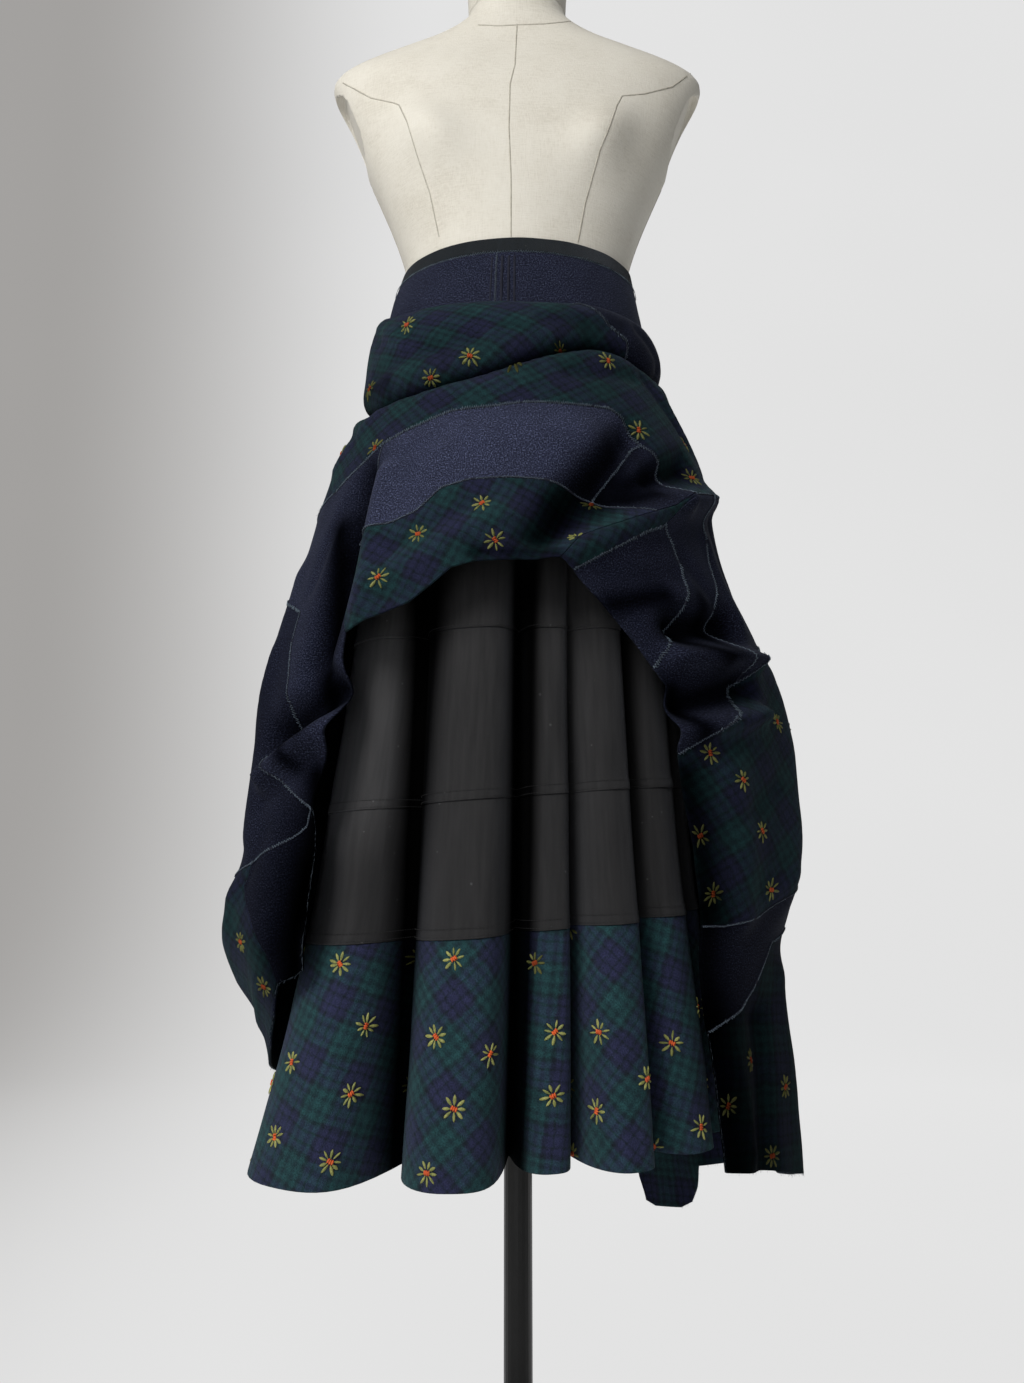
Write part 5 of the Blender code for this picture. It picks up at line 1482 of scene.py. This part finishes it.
def petal_net():
    """Places across and along a petal of unit length, with their height."""
    stations = [(0.00, 0.10, 0.15), (0.18, 0.55, 0.75), (0.45, 1.00, 1.00),
                (0.75, 0.86, 0.95), (0.93, 0.50, 0.60), (1.00, 0.10, 0.10)]
    points = []
    for along, width, rise in stations:
        for across, lift in ((-1.0, 0.0), (-0.55, 0.75), (0.0, 1.0), (0.55, 0.75), (1.0, 0.0)):
            points.append((along, across * width, lift * rise))
    faces = []
    for row in range(len(stations) - 1):
        for k in range(4):
            a = row * 5 + k
            faces.append([a, a + 1, a + 6, a + 5])
    return np.array(points), faces


def local_scale(cloth, place):
    """Flat lengths that stand for one metre of cloth, across and along, at this place."""
    step = 0.004 if cloth.mapping is outer_mapping else 0.02
    sides = np.array([place - (step, 0), place + (step, 0)])
    levels = np.array([place - (0, 0.004), place + (0, 0.004)])
    a = cloth.mapping(sides, 0.0)
    b = cloth.mapping(levels, 0.0)
    return (2 * step / np.linalg.norm(a[1] - a[0]),
            0.008 / np.linalg.norm(b[1] - b[0]))


def inside_cloth(cloth, flat):
    if cloth.mapping is outer_mapping:
        return inside_outline(flat, cloth.outline)
    bottom, top = cloth.outline
    number = (np.floor(flat[:, 0] * LOBE_COLUMNS).astype(int)) % len(bottom)
    return (flat[:, 1] > bottom[number] + 0.0005) & (flat[:, 1] < top[number] - 0.0005)


def add_flower(cloth, place, petals, hearts, random):
    """Embroiders one flower: eight to ten petals round a knot."""
    across, along = local_scale(cloth, place)
    net, faces = petal_net()
    # The flower is painted with the painted shade of the cloth under it, never darker than
    # FLOWER_LIGHT allows
    gaps = (cloth.places - place) / (across, along)
    light = cloth.shades[np.argmin(np.linalg.norm(gaps, axis=1))]
    light = FLOWER_LIGHT + (1.0 - FLOWER_LIGHT) * min(light, 1.2) ** 1.4
    count = int(random.integers(8, 10))
    turn = random.uniform(0.0, math.tau)
    oval = random.uniform(0.0, math.pi)
    for petal in range(count):
        angle = turn + math.tau * (petal + random.uniform(-0.16, 0.16)) / count
        start = 0.0026 * random.uniform(0.8, 1.2)
        length = FLOWER_RADIUS * random.uniform(0.80, 1.06) - start
        width = 0.00125 * random.uniform(0.75, 1.25)
        along_petal = start + net[:, 0] * length
        across_petal = net[:, 1] * width + 0.0006 * random.uniform(-1, 1) * net[:, 0] ** 2
        x = along_petal * math.cos(angle) - across_petal * math.sin(angle)
        y = along_petal * math.sin(angle) + across_petal * math.cos(angle)
        flat = place + np.stack([x * across, y * along], axis=1)
        if not inside_cloth(cloth, flat[[2, 12, 22]]).all():
            continue
        if not inside_cloth(cloth, flat[[27]]).all():
            flat = place + (flat - place) * 0.72
        lift = cloth.mapping(flat, 0.0) + mapped_normals(cloth.mapping, flat) * (
            0.0002 + net[:, 2] * 0.0011)[:, None]
        petals.add(lift, faces, light)
    for knot in range(3):
        shift = (knot - 1) * 0.0019
        angle = oval + random.uniform(-0.2, 0.2)
        along_knot = (net[:, 0] - 0.5) * 0.0046
        across_knot = net[:, 1] * 0.00115 + shift
        x = along_knot * math.cos(angle) - across_knot * math.sin(angle)
        y = along_knot * math.sin(angle) + across_knot * math.cos(angle)
        flat = place + np.stack([x * across, y * along], axis=1)
        if not inside_cloth(cloth, flat).all():
            continue
        lift = cloth.mapping(flat, 0.0) + mapped_normals(cloth.mapping, flat) * (
            0.0004 + net[:, 2] * 0.0015)[:, None]
        hearts.add(lift, faces, light)


def hidden_flower_places(cloth):
    """A staggered spread of places over a check cloth, the same density all round."""
    low = cloth.places.min(axis=0)
    high = cloth.places.max(axis=0)
    middle = (low + high) / 2
    across, _ = local_scale(cloth, middle)
    step = HIDDEN_FLOWER_STEP * across
    row = 0
    height = low[1] + 0.020
    places = []
    while height < high[1] - 0.010:
        x = low[0] + step * (0.25 + 0.5 * (row % 2))
        while x < high[0]:
            places.append((x, height))
            x += step
        height += HIDDEN_FLOWER_ROW
        row += 1
    return places


def make_flowers(cloths, materials):
    random = np.random.default_rng(5)
    covering = Covering(cloths)
    camera = Vector(CAMERA_PLACE)
    petals = Threads()
    hearts = Threads()
    placed = []
    for x, y in FLOWER_PIXELS:
        found = covering.hit(camera, pixel_ray(x, y))
        if found is None or not found[0].check:
            continue
        cloth, place, _ = found
        add_flower(cloth, place, petals, hearts, random)
        placed.append(cloth.mapping(place[None, :], 0.0)[0])
    for cloth in cloths:
        if not cloth.check:
            continue
        for x, height in hidden_flower_places(cloth):
            jitter = random.normal(0.0, 0.006, 2) * (local_scale(cloth, np.array((x, height))))
            place = np.array((x, height)) + jitter
            if not inside_cloth(cloth, place[None, :])[0]:
                continue
            point = cloth.mapping(place[None, :], 0.0)[0]
            near = np.linalg.norm(np.array(placed) - point, axis=1).min()
            towards = Vector(point) - camera
            found = covering.hit(camera, towards.normalized())
            seen = found is not None and found[2] > towards.length - 0.006
            if near < FLOWER_CLEARANCE or seen:
                continue
            add_flower(cloth, place, petals, hearts, random)
            placed.append(point)
    petals.finish("flower_petals", materials["petal"])
    hearts.finish("flower_hearts", materials["heart"])


def node(tree, kind, **settings):
    made = tree.nodes.new(kind)
    for key, value in settings.items():
        setattr(made, key, value)
    return made


def feed(tree, socket, value):
    """Links an output to a socket, or sets the socket's own value."""
    if isinstance(value, bpy.types.NodeSocket):
        tree.links.new(value, socket)
    elif value is not None:
        socket.default_value = value


def calc(tree, operation, a, b=None, clamp=False):
    made = node(tree, "ShaderNodeMath", operation=operation, use_clamp=clamp)
    feed(tree, made.inputs[0], a)
    feed(tree, made.inputs[1], b)
    return made.outputs[0]


def ramp(tree, factor, stops, interpolation="LINEAR"):
    made = node(tree, "ShaderNodeValToRGB")
    made.color_ramp.interpolation = interpolation
    elements = made.color_ramp.elements
    while len(elements) < len(stops):
        elements.new(0.5)
    for element, (place, colour) in zip(elements, stops):
        element.position = place
        element.color = (*colour, 1.0)
    feed(tree, made.inputs["Fac"], factor)
    return made.outputs["Color"]


def noise(tree, vector, scale, detail=2.0, roughness=0.5, distortion=0.0):
    made = node(tree, "ShaderNodeTexNoise")
    feed(tree, made.inputs["Vector"], vector)
    made.inputs["Scale"].default_value = scale
    made.inputs["Detail"].default_value = detail
    made.inputs["Roughness"].default_value = roughness
    made.inputs["Distortion"].default_value = distortion
    return made.outputs["Fac"]


def mix(tree, factor, a, b, blend="MIX"):
    made = node(tree, "ShaderNodeMix", data_type="RGBA", blend_type=blend)
    feed(tree, made.inputs["Factor"], factor)
    feed(tree, made.inputs["A"], a if isinstance(a, bpy.types.NodeSocket) else (*a, 1.0))
    feed(tree, made.inputs["B"], b if isinstance(b, bpy.types.NodeSocket) else (*b, 1.0))
    return made.outputs["Result"]


def grey(tree, value):
    """A grey colour from a number."""
    made = node(tree, "ShaderNodeCombineXYZ")
    for socket in made.inputs:
        feed(tree, socket, value)
    return made.outputs[0]


def remap(tree, value, low, high):
    made = node(tree, "ShaderNodeMapRange")
    feed(tree, made.inputs["Value"], value)
    made.inputs["To Min"].default_value = low
    made.inputs["To Max"].default_value = high
    return made.outputs["Result"]


def new_material(name, roughness, sheen=0.0, sheen_tint=(1, 1, 1), specular=0.3):
    material = bpy.data.materials.new(name)
    material.use_nodes = True
    tree = material.node_tree
    shader = tree.nodes["Principled BSDF"]
    shader.inputs["Roughness"].default_value = roughness
    shader.inputs["Specular IOR Level"].default_value = specular
    shader.inputs["Sheen Weight"].default_value = sheen
    shader.inputs["Sheen Roughness"].default_value = 0.45
    shader.inputs["Sheen Tint"].default_value = (*sheen_tint, 1.0)
    return material, tree, shader


def set_bump(tree, shader, height, distance, strength=1.0):
    bump = node(tree, "ShaderNodeBump")
    bump.inputs["Distance"].default_value = distance
    bump.inputs["Strength"].default_value = strength
    feed(tree, bump.inputs["Height"], height)
    feed(tree, shader.inputs["Normal"], bump.outputs["Normal"])


def scaled(tree, vector, scale):
    made = node(tree, "ShaderNodeVectorMath", operation="MULTIPLY")
    feed(tree, made.inputs[0], vector)
    made.inputs[1].default_value = scale
    return made.outputs[0]


def shade_cloth(tree, shader, colour, sheen, specular):
    """Colour, sheen and gloss, all darker in the depth of folds where light doesn't reach."""
    shade = node(tree, "ShaderNodeAttribute", attribute_name="fold_shade").outputs["Fac"]
    feed(tree, shader.inputs["Base Color"],
         mix(tree, 1.0, colour, grey(tree, shade), "MULTIPLY"))
    feed(tree, shader.inputs["Sheen Weight"], calc(tree, "MULTIPLY", shade, sheen))
    feed(tree, shader.inputs["Specular IOR Level"], calc(tree, "MULTIPLY", shade, specular))


NAVY_STRIPE = (0.0150, 0.0170, 0.0440)
BLACK_STRIPE = (0.0062, 0.0095, 0.0150)
GREEN_STRIPE = (0.0105, 0.0370, 0.0410)
DARK_GREEN = (0.0070, 0.0190, 0.0240)
SETT = 0.054
TWILL = 0.0016


def tartan_material():
    material, tree, shader = new_material("tartan_flannel", 0.95, 0.07, (0.5, 0.75, 0.85))
    uv = node(tree, "ShaderNodeUVMap", uv_map="UVMap").outputs["UV"]
    warp = node(tree, "ShaderNodeTexNoise")
    feed(tree, warp.inputs["Vector"], uv)
    warp.inputs["Scale"].default_value = 120.0
    offset = node(tree, "ShaderNodeVectorMath", operation="SUBTRACT")
    feed(tree, offset.inputs[0], warp.outputs["Color"])
    offset.inputs[1].default_value = (0.5, 0.5, 0.5)
    moved = node(tree, "ShaderNodeVectorMath", operation="ADD")
    feed(tree, moved.inputs[0], uv)
    feed(tree, moved.inputs[1], scaled(tree, offset.outputs[0], (0.0055, 0.0055, 0.0)))
    split = node(tree, "ShaderNodeSeparateXYZ")
    feed(tree, split.inputs[0], moved.outputs[0])
    stops = [
        (0.00, NAVY_STRIPE), (0.12, NAVY_STRIPE), (0.18, BLACK_STRIPE), (0.20, BLACK_STRIPE),
        (0.26, NAVY_STRIPE), (0.36, NAVY_STRIPE), (0.46, BLACK_STRIPE), (0.52, BLACK_STRIPE),
        (0.61, GREEN_STRIPE), (0.68, GREEN_STRIPE), (0.77, DARK_GREEN),
        (0.84, DARK_GREEN), (0.93, GREEN_STRIPE), (1.00, GREEN_STRIPE),
    ]
    stripes = []
    for axis in ("X", "Y"):
        place = calc(tree, "PINGPONG", split.outputs[axis], SETT / 2)
        share = calc(tree, "DIVIDE", place, SETT / 2)
        stripes.append(ramp(tree, share, stops))
    diagonal = calc(tree, "ADD", split.outputs["X"], split.outputs["Y"])
    twill = calc(tree, "DIVIDE", calc(tree, "PINGPONG", diagonal, TWILL / 2), TWILL / 2)
    pick = remap(tree, twill, 0.22, 0.78)
    check = mix(tree, pick, stripes[0], stripes[1])
    nap = noise(tree, uv, 700.0, 3.0, 0.65)
    mottle = noise(tree, uv, 90.0, 3.0, 0.6)
    tone = calc(tree, "MULTIPLY", remap(tree, nap, -0.15, 2.3), remap(tree, mottle, 0.5, 1.55))
    colour = mix(tree, 1.0, check, grey(tree, tone), "MULTIPLY")
    shade_cloth(tree, shader, colour, 0.07, 0.15)
    height = calc(tree, "ADD", calc(tree, "MULTIPLY", twill, 0.35), nap)
    set_bump(tree, shader, height, 0.0007, 0.8)
    return material


def navy_material():
    material, tree, shader = new_material("navy_felted_wool", 0.93, 0.06, (0.55, 0.65, 0.9))
    uv = node(tree, "ShaderNodeUVMap", uv_map="UVMap").outputs["UV"]
    grain = noise(tree, scaled(tree, uv, (1.0, 0.85, 1.0)), 820.0, 2.0, 0.6)
    slub = noise(tree, scaled(tree, uv, (0.35, 1.0, 1.0)), 420.0, 2.0, 0.6)
    mottle = noise(tree, uv, 34.0, 3.0, 0.55)
    fleck = ramp(tree, grain, [(0.36, (0.0035, 0.0042, 0.0100)), (0.50, (0.0120, 0.0142, 0.0310)),
                               (0.60, (0.0330, 0.0390, 0.0760)), (0.72, (0.090, 0.105, 0.17))])
    tone = calc(tree, "MULTIPLY", remap(tree, slub, 0.7, 1.3), remap(tree, mottle, 0.72, 1.28))
    colour = mix(tree, 1.0, fleck, grey(tree, tone), "MULTIPLY")
    shade_cloth(tree, shader, colour, 0.06, 0.15)
    set_bump(tree, shader, calc(tree, "ADD", grain, slub), 0.00020, 0.6)
    return material


def cotton_material(name, dark, light):
    material, tree, shader = new_material(name, 0.88, 0.06, (0.8, 0.85, 1.0))
    uv = node(tree, "ShaderNodeUVMap", uv_map="UVMap").outputs["UV"]
    split = node(tree, "ShaderNodeSeparateXYZ")
    feed(tree, split.inputs[0], uv)
    diagonal = calc(tree, "ADD", split.outputs["X"], split.outputs["Y"])
    twill = calc(tree, "DIVIDE", calc(tree, "PINGPONG", diagonal, 0.0005), 0.0005)
    grain = noise(tree, uv, 1300.0, 2.0, 0.6)
    streak = noise(tree, scaled(tree, uv, (3.0, 0.22, 1.0)), 60.0, 3.0, 0.6)
    tone = calc(tree, "ADD", calc(tree, "MULTIPLY", grain, 0.55),
                calc(tree, "MULTIPLY", streak, 0.45))
    colour = ramp(tree, tone, [(0.30, dark), (0.70, light)])
    lint = noise(tree, uv, 210.0, 0.0)
    specks = ramp(tree, lint, [(0.83, (0, 0, 0)), (0.87, (0.03, 0.03, 0.031))])
    colour = mix(tree, 1.0, colour, specks, "ADD")
    shade_cloth(tree, shader, colour, 0.06, 0.25)
    height = calc(tree, "ADD", twill, calc(tree, "MULTIPLY", grain, 0.8))
    set_bump(tree, shader, height, 0.00035, 0.7)
    return material


def linen_material():
    material, tree, shader = new_material("linen_cover", 0.82, 0.12, (1.0, 0.98, 0.94), 0.3)
    place = node(tree, "ShaderNodeTexCoord").outputs["Object"]
    across = noise(tree, scaled(tree, place, (1.0, 1.0, 0.10)), 900.0, 2.0, 0.6)
    along = noise(tree, scaled(tree, place, (0.12, 0.12, 1.0)), 900.0, 2.0, 0.6)
    weave = calc(tree, "ADD", across, along)
    mottle = noise(tree, place, 14.0, 3.0, 0.55)
    tone = calc(tree, "ADD", calc(tree, "MULTIPLY", weave, 0.30),
                calc(tree, "MULTIPLY", mottle, 0.40))
    colour = ramp(tree, tone, [(0.30, (0.560, 0.520, 0.440)), (0.50, (0.690, 0.655, 0.575)),
                               (0.72, (0.760, 0.730, 0.655))])
    feed(tree, shader.inputs["Base Color"], colour)
    set_bump(tree, shader, weave, 0.0004, 0.7)
    return material


def metal_material():
    material, tree, shader = new_material("satin_black_paint", 0.34, 0.0, (1, 1, 1), 0.35)
    place = node(tree, "ShaderNodeTexCoord").outputs["Object"]
    peel = noise(tree, place, 380.0, 2.0, 0.5)
    wear = noise(tree, place, 22.0, 4.0, 0.6)
    colour = ramp(tree, wear, [(0.35, (0.003, 0.003, 0.0033)), (0.75, (0.008, 0.008, 0.0085))])
    feed(tree, shader.inputs["Base Color"], colour)
    feed(tree, shader.inputs["Roughness"], remap(tree, wear, 0.24, 0.46))
    set_bump(tree, shader, peel, 0.0002, 0.5)
    return material


def thread_material(name, dark, light, roughness=0.75, sheen=0.2, rate=420.0):
    material, tree, shader = new_material(name, roughness, sheen, light, 0.35)
    place = node(tree, "ShaderNodeTexCoord").outputs["Object"]
    twist = noise(tree, place, rate * 5, 1.0)
    change = noise(tree, place, rate * 0.35, 2.0, 0.7)
    tone = calc(tree, "ADD", calc(tree, "MULTIPLY", twist, 0.4),
                calc(tree, "MULTIPLY", change, 0.6))
    colour = ramp(tree, tone, [(0.32, dark), (0.68, light)])
    shade_cloth(tree, shader, colour, sheen, 0.3)
    set_bump(tree, shader, twist, 0.0003, 0.8)
    return material


def smooth_range(tree, value, start, end):
    """0 at the start of the range, 1 at its end, with soft shoulders."""
    ranged = node(tree, "ShaderNodeMapRange", interpolation_type="SMOOTHSTEP")
    feed(tree, ranged.inputs["Value"], value)
    ranged.inputs["From Min"].default_value = start
    ranged.inputs["From Max"].default_value = end
    return ranged.outputs["Result"]


def wall_material():
    """A plain lit floor that passes into a glowing wall, whose glow is painted light that is
    darker at its left end.
    """
    material, tree, shader = new_material("pale_wall", 0.9, 0.0, (1, 1, 1), 0.2)
    place = node(tree, "ShaderNodeTexCoord").outputs["Object"]
    cloud = noise(tree, place, 0.6, 2.0, 0.5)
    split = node(tree, "ShaderNodeSeparateXYZ")
    feed(tree, split.inputs[0], place)
    side = smooth_range(tree, split.outputs["X"], WALL_DARK_END, WALL_LIGHT_END)
    far = smooth_range(tree, split.outputs["Y"], FLOOR_END, WALL_START)
    feed(tree, shader.inputs["Base Color"], mix(tree, far, FLOOR_COLOUR, UNLIT_COLOUR))
    feed(tree, shader.inputs["Emission Color"], mix(tree, side, WALL_DARK, WALL_LIGHT))
    feed(tree, shader.inputs["Emission Strength"],
         calc(tree, "MULTIPLY", far, remap(tree, cloud, 0.96, 1.04)))
    return material


def make_materials():
    return {
        "tartan": tartan_material(),
        "navy": navy_material(),
        "cotton": cotton_material("black_cotton_twill", (0.0085, 0.0083, 0.0088),
                                  (0.0240, 0.0235, 0.0245)),
        "band": cotton_material("black_waistband", (0.0030, 0.0046, 0.0062),
                                (0.0080, 0.0125, 0.0160)),
        "linen": linen_material(),
        "metal": metal_material(),
        "thread": thread_material("edge_thread", (0.020, 0.032, 0.046),
                                  (0.190, 0.250, 0.310)),
        "fray": thread_material("edge_fibre", (0.020, 0.028, 0.040), (0.160, 0.200, 0.250)),
        "seam": thread_material("seam_wool", (0.005, 0.006, 0.012), (0.018, 0.020, 0.036),
                                0.95, 0.1, 900.0),
        "black_thread": thread_material("black_thread", (0.006, 0.006, 0.006),
                                        (0.030, 0.030, 0.031)),
        "petal": thread_material("olive_silk", (0.085, 0.105, 0.026), (0.330, 0.325, 0.100),
                                 0.5, 0.15),
        "heart": thread_material("orange_silk", (0.340, 0.045, 0.014), (0.760, 0.140, 0.030),
                                 0.5, 0.2),
        "form_seam": thread_material("linen_seam", (0.34, 0.31, 0.25), (0.56, 0.53, 0.46),
                                     0.85, 0.1),
        "wall": wall_material(),
    }


# Seams of the dress form that the photograph shows, in its pixels
FORM_SEAMS = [
    [(517, 24), (515, 64), (510, 84), (509, 127), (511, 180), (511, 237)],
    [(343, 83), (371, 98), (394, 103), (399, 105), (407, 122), (418, 158), (430, 194),
     (439, 237)],
    [(694, 71), (672, 87), (644, 94), (622, 96), (617, 105), (609, 128), (600, 150),
     (585, 204), (578, 242)],
    [(478, 25), (498, 26), (517, 25), (545, 24), (575, 21)],
]
SEAM_PIXEL_STEP = 5.0
WELT_RADIUS = 0.00095
WELT_SINK = 0.0003
WELT_BOTTOM = 1.262
WELT_TOP = 1.556
WELT_STEP = 0.008
FEWEST_WELT_POINTS = 4

# Seams of the form that the photograph doesn't show: angles, and how they lean at the shoulder
BACK_SEAM_ANGLE = 180.0
BACK_PANEL_ANGLE = 128.0
SIDE_SEAM_ANGLE = 93.0
SIDE_SEAM_TOP = 1.388
SHOULDER_HEIGHT = 1.42
SHOULDER_LEAN = 60.0


def level_normals(points):
    """Directions straight out from the form's axis."""
    normals = points * (1.0, 1.0, 0.0)
    return normals / np.linalg.norm(normals, axis=1)[:, None]


def make_form_seams(torso, materials):
    """Welted seams of the form's cover, the front ones where the photograph has them."""
    tree = BVHTree.FromPolygons([v.co.copy() for v in torso.data.vertices],
                                [list(p.vertices) for p in torso.data.polygons])
    camera = Vector(CAMERA_PLACE)
    welts = Threads()

    def welt(points, normals):
        points = np.array(points)
        normals = np.array(normals)
        if len(points) < FEWEST_WELT_POINTS:
            return
        welts.tube(points, normals, WELT_RADIUS, sides=6)

    for pixels in FORM_SEAMS:
        line = divided(np.array(pixels, float), SEAM_PIXEL_STEP, keep_last=True)
        points = []
        normals = []
        for x, y in line:
            place, normal, _, _ = tree.ray_cast(camera, pixel_ray(x, y))
            if place is not None:
                points.append(np.array(place - normal * WELT_SINK))
                normals.append(np.array(normal))
        welt(points, normals)
    heights = np.arange(WELT_BOTTOM, WELT_TOP, WELT_STEP)
    for centre in (BACK_SEAM_ANGLE, BACK_PANEL_ANGLE, -BACK_PANEL_ANGLE):
        lean = np.where(heights > SHOULDER_HEIGHT,
                        (heights - SHOULDER_HEIGHT) * SHOULDER_LEAN, 0.0)
        degrees = centre + (np.sign(wrapped(centre, 90.0) - 90.0) * -lean
                            if centre != BACK_SEAM_ANGLE else 0.0)
        points = squared_points(heights, degrees + 0.0 * heights)
        normals = level_normals(points)
        welt(points - normals * WELT_SINK, normals)
    for side in (-1.0, 1.0):
        rise = np.arange(WELT_BOTTOM, SIDE_SEAM_TOP, WELT_STEP)
        points = squared_points(rise, np.full(len(rise), SIDE_SEAM_ANGLE * side))
        normals = level_normals(points)
        welt(points - normals * WELT_SINK, normals)
    welts.finish("form_seams", materials["form_seam"])


def make_camera():
    data = bpy.data.cameras.new("photo_camera")
    data.sensor_width = SENSOR_SIZE
    data.sensor_fit = "AUTO"
    data.lens = SENSOR_SIZE * FOCAL_PIXELS / PHOTO_HEIGHT
    data.clip_start = NEAREST_SEEN
    camera = bpy.data.objects.new("photo_camera", data)
    camera.location = CAMERA_PLACE
    camera.rotation_euler = (math.radians(90.0 + CAMERA_TILT), 0.0, 0.0)
    bpy.context.scene.collection.objects.link(camera)
    bpy.context.scene.camera = camera


def area_light(name, place, target, size, power, colour):
    data = bpy.data.lights.new(name, "AREA")
    data.shape = "RECTANGLE"
    data.size, data.size_y = size
    data.energy = power
    data.color = colour
    light = bpy.data.objects.new(name, data)
    light.location = place
    light.visible_camera = False
    towards = Vector(target) - Vector(place)
    light.rotation_euler = towards.to_track_quat("-Z", "Y").to_euler()
    bpy.context.scene.collection.objects.link(light)


def make_lights():
    scene = bpy.context.scene
    world = bpy.data.worlds.new("soft_room")
    world.use_nodes = True
    background = world.node_tree.nodes["Background"]
    background.inputs["Color"].default_value = ROOM_COLOUR
    background.inputs["Strength"].default_value = ROOM_STRENGTH
    scene.world = world
    for light in LIGHTS:
        area_light(*light)
    scene.view_settings.view_transform = "Standard"
    scene.view_settings.look = "None"


def make_backdrop(materials):
    """A plain pale floor that curves up into the wall behind."""
    start = WALL_PLACE - WALL_CURVE
    profile = [(-BACKDROP_REACH, 0.0), (start, 0.0)]
    for i in range(1, CURVE_STEPS + 1):
        angle = math.pi / 2 * i / CURVE_STEPS
        profile.append((start + WALL_CURVE * math.sin(angle),
                        WALL_CURVE - WALL_CURVE * math.cos(angle)))
    profile.append((WALL_PLACE, WALL_TOP))
    points = []
    for y, z in profile:
        low = z - BACKDROP_DROP
        points += [(-BACKDROP_REACH, y, low), (BACKDROP_REACH, y, low)]
    faces = [(2 * i, 2 * i + 1, 2 * i + 3, 2 * i + 2) for i in range(len(profile) - 1)]
    mesh = bpy.data.meshes.new("backdrop")
    mesh.from_pydata(points, [], faces)
    mesh.materials.append(materials["wall"])
    mesh.polygons.foreach_set("use_smooth", [True] * len(faces))
    backdrop = bpy.data.objects.new("backdrop", mesh)
    bpy.context.scene.collection.objects.link(backdrop)


def make_skirt(materials):
    cloths = []
    for number, (name, cloth, route) in enumerate(PATCHES):
        cloths.append(make_patch(number, name, cloth, route, materials))
    waist = (WAISTBAND_BOTTOM, WAISTBAND_BOTTOM)
    cloths.append(make_tier("underskirt_top", UPPER_SEAM, waist, 34, 0.0012, "cotton",
                            materials, 0.0))
    cloths.append(make_tier("underskirt_middle", MIDDLE_SEAM, UPPER_SEAM, 22, 0.0012,
                            "cotton", materials, 0.3))
    cloths.append(make_tier("underskirt_band", FLOUNCE_SEAM, MIDDLE_SEAM, 20, 0.0012,
                            "cotton", materials, 0.6))
    cloths.append(make_tier("flounce", FLOUNCE_HEM, FLOUNCE_SEAM, 34, 0.0, "tartan",
                            materials, 0.9))
    return cloths


def dress_stand(materials):
    for name in ("stand_pole", "stand_base"):
        node_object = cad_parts[name]
        node_object.data.materials.clear()
        node_object.data.materials.append(materials["metal"])


def main():
    make_camera()
    make_lights()
    materials = make_materials()
    make_backdrop(materials)
    torso = make_form(materials)
    make_form_seams(torso, materials)
    make_waist(materials)
    make_yoke_seams(materials)
    cloths = make_skirt(materials)
    make_outer_seams(materials)
    make_underskirt_seams(materials)
    make_flowers(cloths, materials)
    dress_stand(materials)


main()
